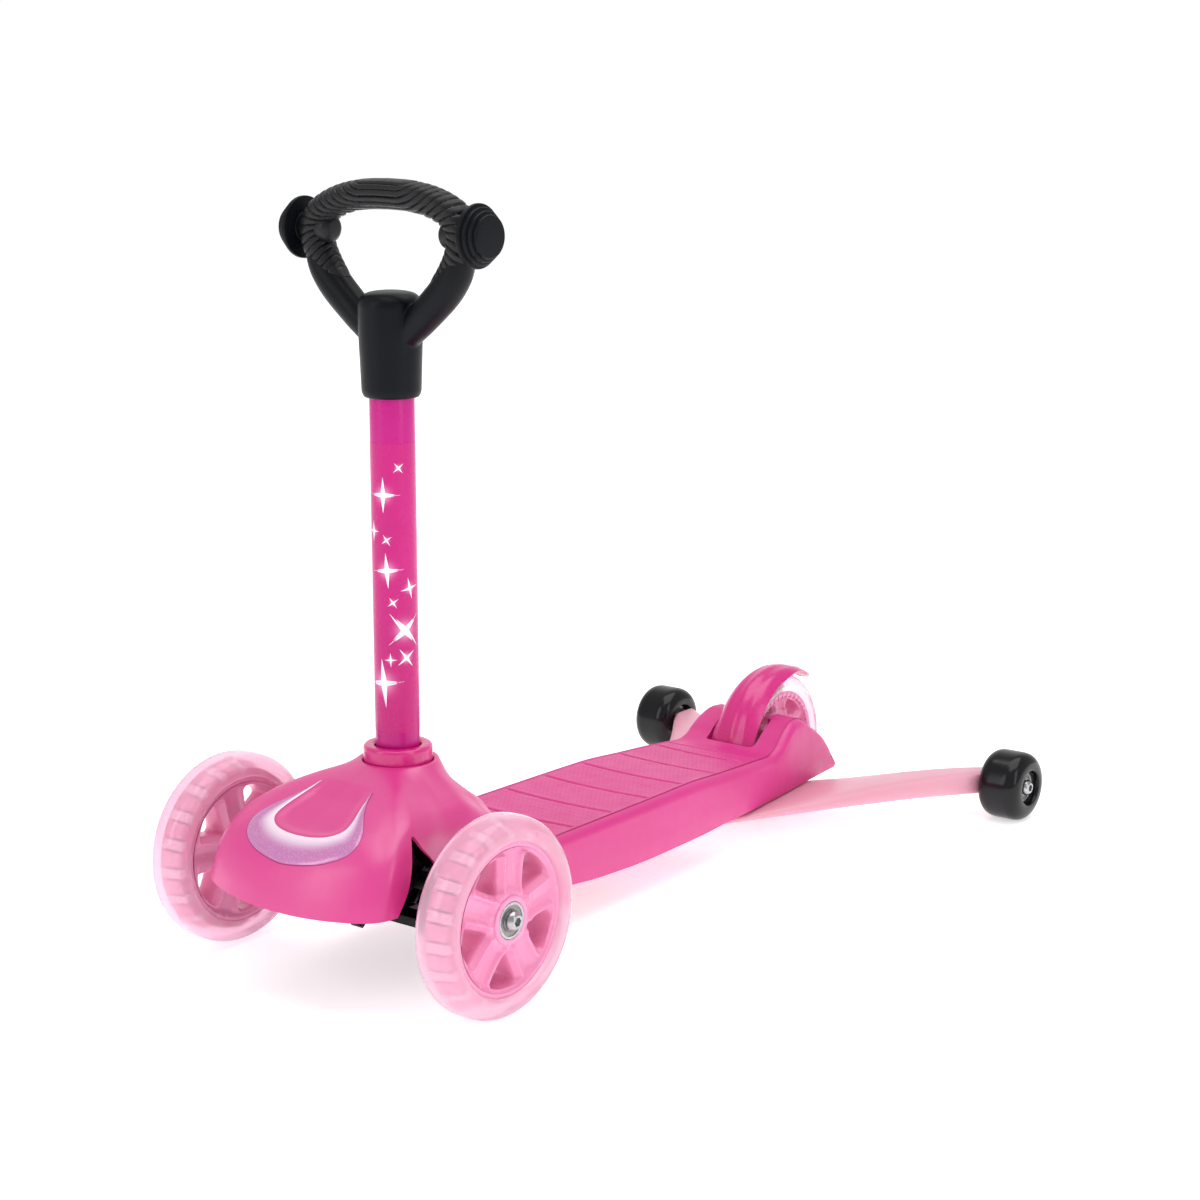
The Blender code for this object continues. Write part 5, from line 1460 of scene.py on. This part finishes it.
def grip():
    end = loop_distance(409.5)
    distances = np.arange(-end, end + 0.01, 0.62)
    thick = loop_table((0, 18.0), [(436, 18.0), (424, 15.5), (415, 10.5)], (end, 5.0))
    deep = loop_table((0, 23.5), [(440, 23.0), (424, 20.4), (415, 16.6)], (end, 9.5))
    fade = loop_table((0, 1.0), [(420, 1.0), (413, 0.0)], (end + 5, 0.0))
    shape = Shape()
    rows = []
    for d in distances:
        size = abs(d)
        shift = -(18.0 - float(thick(size))) / 2
        strength = float(fade(size))
        groove = (lambda a, b, s=strength: grip_groove(a, b) * s) if strength > 0.02 else None
        rows.append(oval_ring(d, float(thick(size)), float(deep(size)), shift, 120, 0.94, groove))
    shape.grid(rows, *CLOSED_ENDS)
    disc_z = node_centre("end_disc_left")[2]
    for side in (1, -1):
        place = on_x(side, COLUMN, disc_z)
        boss = rounded(
            [(0.0, 42.6), (5.6, 42.9), (8.4, 45.4), (8.8, 52.0), (0.0, 52.0)], [0, 1.6, 1.8, 0.4, 0], 5
        )
        shape.lathe(boss, place, 48, closed=False)
    obj = shape.build("loop_grip", GRIP, angle=60)
    attach(obj, "column", "grip_rubber", "handle_grip")


def handle():
    low, high = node_box("handle_frame")
    hub_low, hub_top = low[2], 409.0
    hub = Shape()
    profile = [
        (0, hub_top + 0.4), (9, hub_top), (15.4, hub_top - 1.5), (19.1, hub_top - 6.0),
        (18.9, hub_top - 24), (17.6, hub_low + 3.0), (16.2, hub_low), (0, hub_low),
    ]
    hub.lathe(rounded(profile, [0, 4, 4, 3.5, 6, 1.5, 1.0, 0], 5), on_z(0, COLUMN), 96, closed=False)
    start = loop_distance(447)
    stop = loop_distance(381.5)
    thick = loop_table(
        (start, 12.0), [(436, 15.0), (424, 18.5), (412, 20.2), (396, 19.6)], (stop, 16.5)
    )
    deep = loop_table((start, 15.0), [(436, 18.4), (424, 20.6), (404, 20.2)], (stop, 17.6))
    shift = loop_table((start, 0.0), [(432, 0.0), (420, 1.6), (405, 1.2)], (stop, 0.5))
    for side in (1, -1):
        rows = []
        for d in np.linspace(start, stop, 60):
            rows.append(oval_ring(side * d, float(thick(d)), float(deep(d)), float(shift(d)), 48, 0.95))
        for step in (0.35, 0.65, 0.85, 0.96):
            size = math.sqrt(1 - step**2)
            rows.append(oval_ring(side * (stop + 8.0 * step), 16.5 * size, 17.6 * size, 0.5, 48, 0.95))
        hub.grid(rows, *CLOSED_ENDS)
    obj = hub.build("loop_frame", BLACK_PLASTIC, merge=0.001)
    remeshed(obj, 0.62, 5)
    tube_room = drill("tube_room", on_z(0, COLUMN), TUBE + 0.3, hub_low - 10, hub_top - 13.5, 64)
    screw_height = node_centre("handle_screw")[2]
    screw_room = drill("screw_room", on_y(0, screw_height), 4.5, COLUMN + 16.1, COLUMN + 30)
    combined(obj, [tube_room, screw_room], angle=55)
    attach(obj, "column", "black_plastic", "handle_frame")
    for label, side in SIDES:
        ends = node_span(f"end_disc_{label}")
        height = node_centre(f"end_disc_{label}")[2]
        step = (ends[1] - ends[0]) / 4
        radii = (18.5, 16.5, 14.5, 12.5)
        profile = [(0, ends[0] - 6), (9, ends[0] - 6), (9, ends[0])]
        eases = [0, 0.5, 0.8]
        for n, r in enumerate(radii):
            first, second = ends[0] + step * n, ends[0] + step * (n + 1)
            profile += [(r, first + 0.05), (r, second)]
            eases += [1.0 if n == 0 else 0.25, 1.15]
        profile += [(0, ends[1] - 0.25)]
        eases += [0]
        discs = Shape()
        discs.lathe(rounded(profile, eases, 5), on_x(side, COLUMN, height), 96, closed=False)
        attach(
            discs.build(f"disc_stack_{label}", BLACK_PLASTIC, angle=50), "column", "black_plastic",
            f"end_disc_{label}"
        )


# ---- CAD pieces that keep their shape -----------------------------------------------------------
def eased_copy(node, material, body, slot, width=0.45, segments=2):
    """A CAD node's shape with its edges eased, in place of the sharp one."""
    source = frame["nodes"][node]
    mesh = source.data.copy()
    mesh.name = f"{node}_eased"
    bm = bmesh.new()
    bm.from_mesh(mesh)
    bmesh.ops.remove_doubles(bm, verts=bm.verts, dist=0.000005)
    bmesh.ops.dissolve_limit(bm, angle_limit=math.radians(1.0), verts=bm.verts, edges=bm.edges)
    bm.to_mesh(mesh)
    bm.free()
    obj = bpy.data.objects.new(f"{node}_part", mesh)
    bpy.context.scene.collection.objects.link(obj)
    mesh.materials.clear()
    mesh.materials.append(material)
    bevel = obj.modifiers.new("ease", "BEVEL")
    bevel.width = width * MM
    bevel.segments = segments
    bevel.limit_method = "ANGLE"
    bevel.angle_limit = math.radians(35)
    bake(obj, 40)
    return attach(obj, body, slot, node)


def inner_parts():
    bodies = frame["record"]["behaviour"]["bodies"]
    body_of = {node: body for body, nodes in bodies.items() for node in nodes}
    eased_copy("front_chassis", CHASSIS_BLACK, "root", "black_plastic", 0.6)
    for node in ("steering_crank", "tie_link", "steering_knuckle_left", "steering_knuckle_right"):
        eased_copy(node, CHASSIS_BLACK, body_of[node], "black_plastic", 0.45)
    metal = (
        "kingpin", "chassis_screw", "hood_screw", "beam_screw", "handle_screw", "rear_axle",
        "brake_pin", "front_spacer",
    )
    plain = [n for n in body_of if n.startswith(metal)]
    for node in plain:
        eased_copy(node, STEEL, body_of[node], "plated_steel", 0.25)
    spring = frame["nodes"]["brake_spring"]
    spring.data.materials.clear()
    spring.data.materials.append(STEEL)


def rib_bar(shape, start, end, half_width, ends):
    """A straight bar between two (y, z) points, carried along X."""
    start, end = np.array(start, float), np.array(end, float)
    along = (end - start) / np.linalg.norm(end - start)
    across = np.array([-along[1], along[0]]) * half_width
    shape.along_x([start - across, end - across, end + across, start + across], *ends)


def chassis_ribs():
    """The ribs of the black truck that show through the wheel arches."""
    ribs = Shape()
    panel = [
        (-38, 60), (-34, 69), (-28, 79), (-23, 92), (-17, 96), (-9, 88), (3, 78), (9, 74), (-8, 71),
        (-14, 62),
    ]
    sloping = (((-37, 62), (-15, 94)), ((-30, 62), (-9, 88)), ((-22, 62), (0, 79)))
    braces = (
        ((-40, 50), (-12, 72)), ((-8.5, 50), (-8.5, 72.5)), ((6, 52), (22, 73)), ((40, 50), (24, 73))
    )
    for side in (1, -1):
        ribs.along_x(panel, *sorted((side * 47.0, side * 50.0)))
        for start, end in sloping:
            rib_bar(ribs, start, end, 1.0, sorted((side * 49.0, side * 54.0)))
        for start, end in braces:
            rib_bar(ribs, start, end, 1.1, sorted((side * 31.0, side * 40.0)))
    return ribs


# ---- Studio -------------------------------------------------------------------------------------
CAMERA_AT = (0.9840, -1.2728, 0.5387)
CAMERA_TO = (0.0516, -0.0682, 0.2091)
WALL_WAY = (-0.612, 0.791, 0.0)


def aim(obj, place, target):
    obj.location = place
    direction = Vector(target) - Vector(place)
    obj.rotation_euler = direction.to_track_quat("-Z", "Y").to_euler()


def softbox(name, place, target, width, height, power):
    light = bpy.data.lights.new(name, "AREA")
    light.shape = "RECTANGLE"
    light.size = width
    light.size_y = height
    light.energy = power
    obj = bpy.data.objects.new(name, light)
    bpy.context.scene.collection.objects.link(obj)
    aim(obj, place, target)
    return obj


def studio():
    floor = Shape()
    reach = 4000.0
    rows = []
    for y, z in ((-reach, 0), (reach, 0)):
        rows.append([(x, y, z) for x in (-reach, reach)])
    floor.grid(rows)
    nodes = Nodes("floor_paper")
    nodes.base(nodes.noise(3, 2.0), (252, 252, 253), (250, 250, 251))
    nodes.set(specular=0.1)
    nodes.shader.inputs["Roughness"].default_value = 0.9
    nodes.shader.inputs["Emission Color"].default_value = (1, 1, 1, 1)
    nodes.set(emission=0.56)
    sheet = floor.build("floor", nodes.material)
    face_up(sheet)
    world = bpy.data.worlds.new("studio")
    bpy.context.scene.world = world
    world.use_nodes = True
    tree = world.node_tree
    background = tree.nodes["Background"]
    background.inputs["Color"].default_value = (1, 1, 1, 1)
    # A bright paper wall stands behind the scooter, and the room round it is dimmer.
    direction = tree.nodes.new("ShaderNodeTexCoord")
    towards = tree.nodes.new("ShaderNodeVectorMath")
    towards.operation = "DOT_PRODUCT"
    towards.inputs[1].default_value = WALL_WAY
    strength = tree.nodes.new("ShaderNodeMapRange")
    strength.interpolation_type = "SMOOTHSTEP"
    for key, value in (("From Min", 0.55), ("From Max", 0.86), ("To Min", 0.58), ("To Max", 1.02)):
        strength.inputs[key].default_value = value
    tree.links.new(direction.outputs["Generated"], towards.inputs[0])
    tree.links.new(towards.outputs["Value"], strength.inputs["Value"])
    tree.links.new(strength.outputs["Result"], background.inputs["Strength"])
    softbox("key", (-0.9, -2.3, 1.3), (0, 0, 0.2), 0.8, 2.0, 12)
    softbox("side", (2.3, -0.2, 1.1), (0, 0, 0.2), 0.7, 1.8, 9)
    softbox("top", (0.2, 0.2, 2.6), (0, 0, 0), 2.4, 2.4, 42)
    camera = bpy.data.cameras.new("camera")
    camera.lens = 74.59
    camera.sensor_width = 36
    camera.clip_end = 50
    obj = bpy.data.objects.new("camera", camera)
    bpy.context.scene.collection.objects.link(obj)
    aim(obj, CAMERA_AT, CAMERA_TO)
    bpy.context.scene.camera = obj
    bpy.context.scene.view_settings.view_transform = "Standard"


studio()
for wheel_label, wheel_side in SIDES:
    front_wheel(wheel_label, wheel_side)
    stabiliser_wheel(wheel_label, wheel_side)
rear_wheel()
deck()
tread()
brake()
stabiliser_beam()
hood_shell()
inlay()
column()
grip()
handle()
inner_parts()
attach(chassis_ribs().build("chassis_rib_set", CHASSIS_BLACK), "root", "black_plastic")
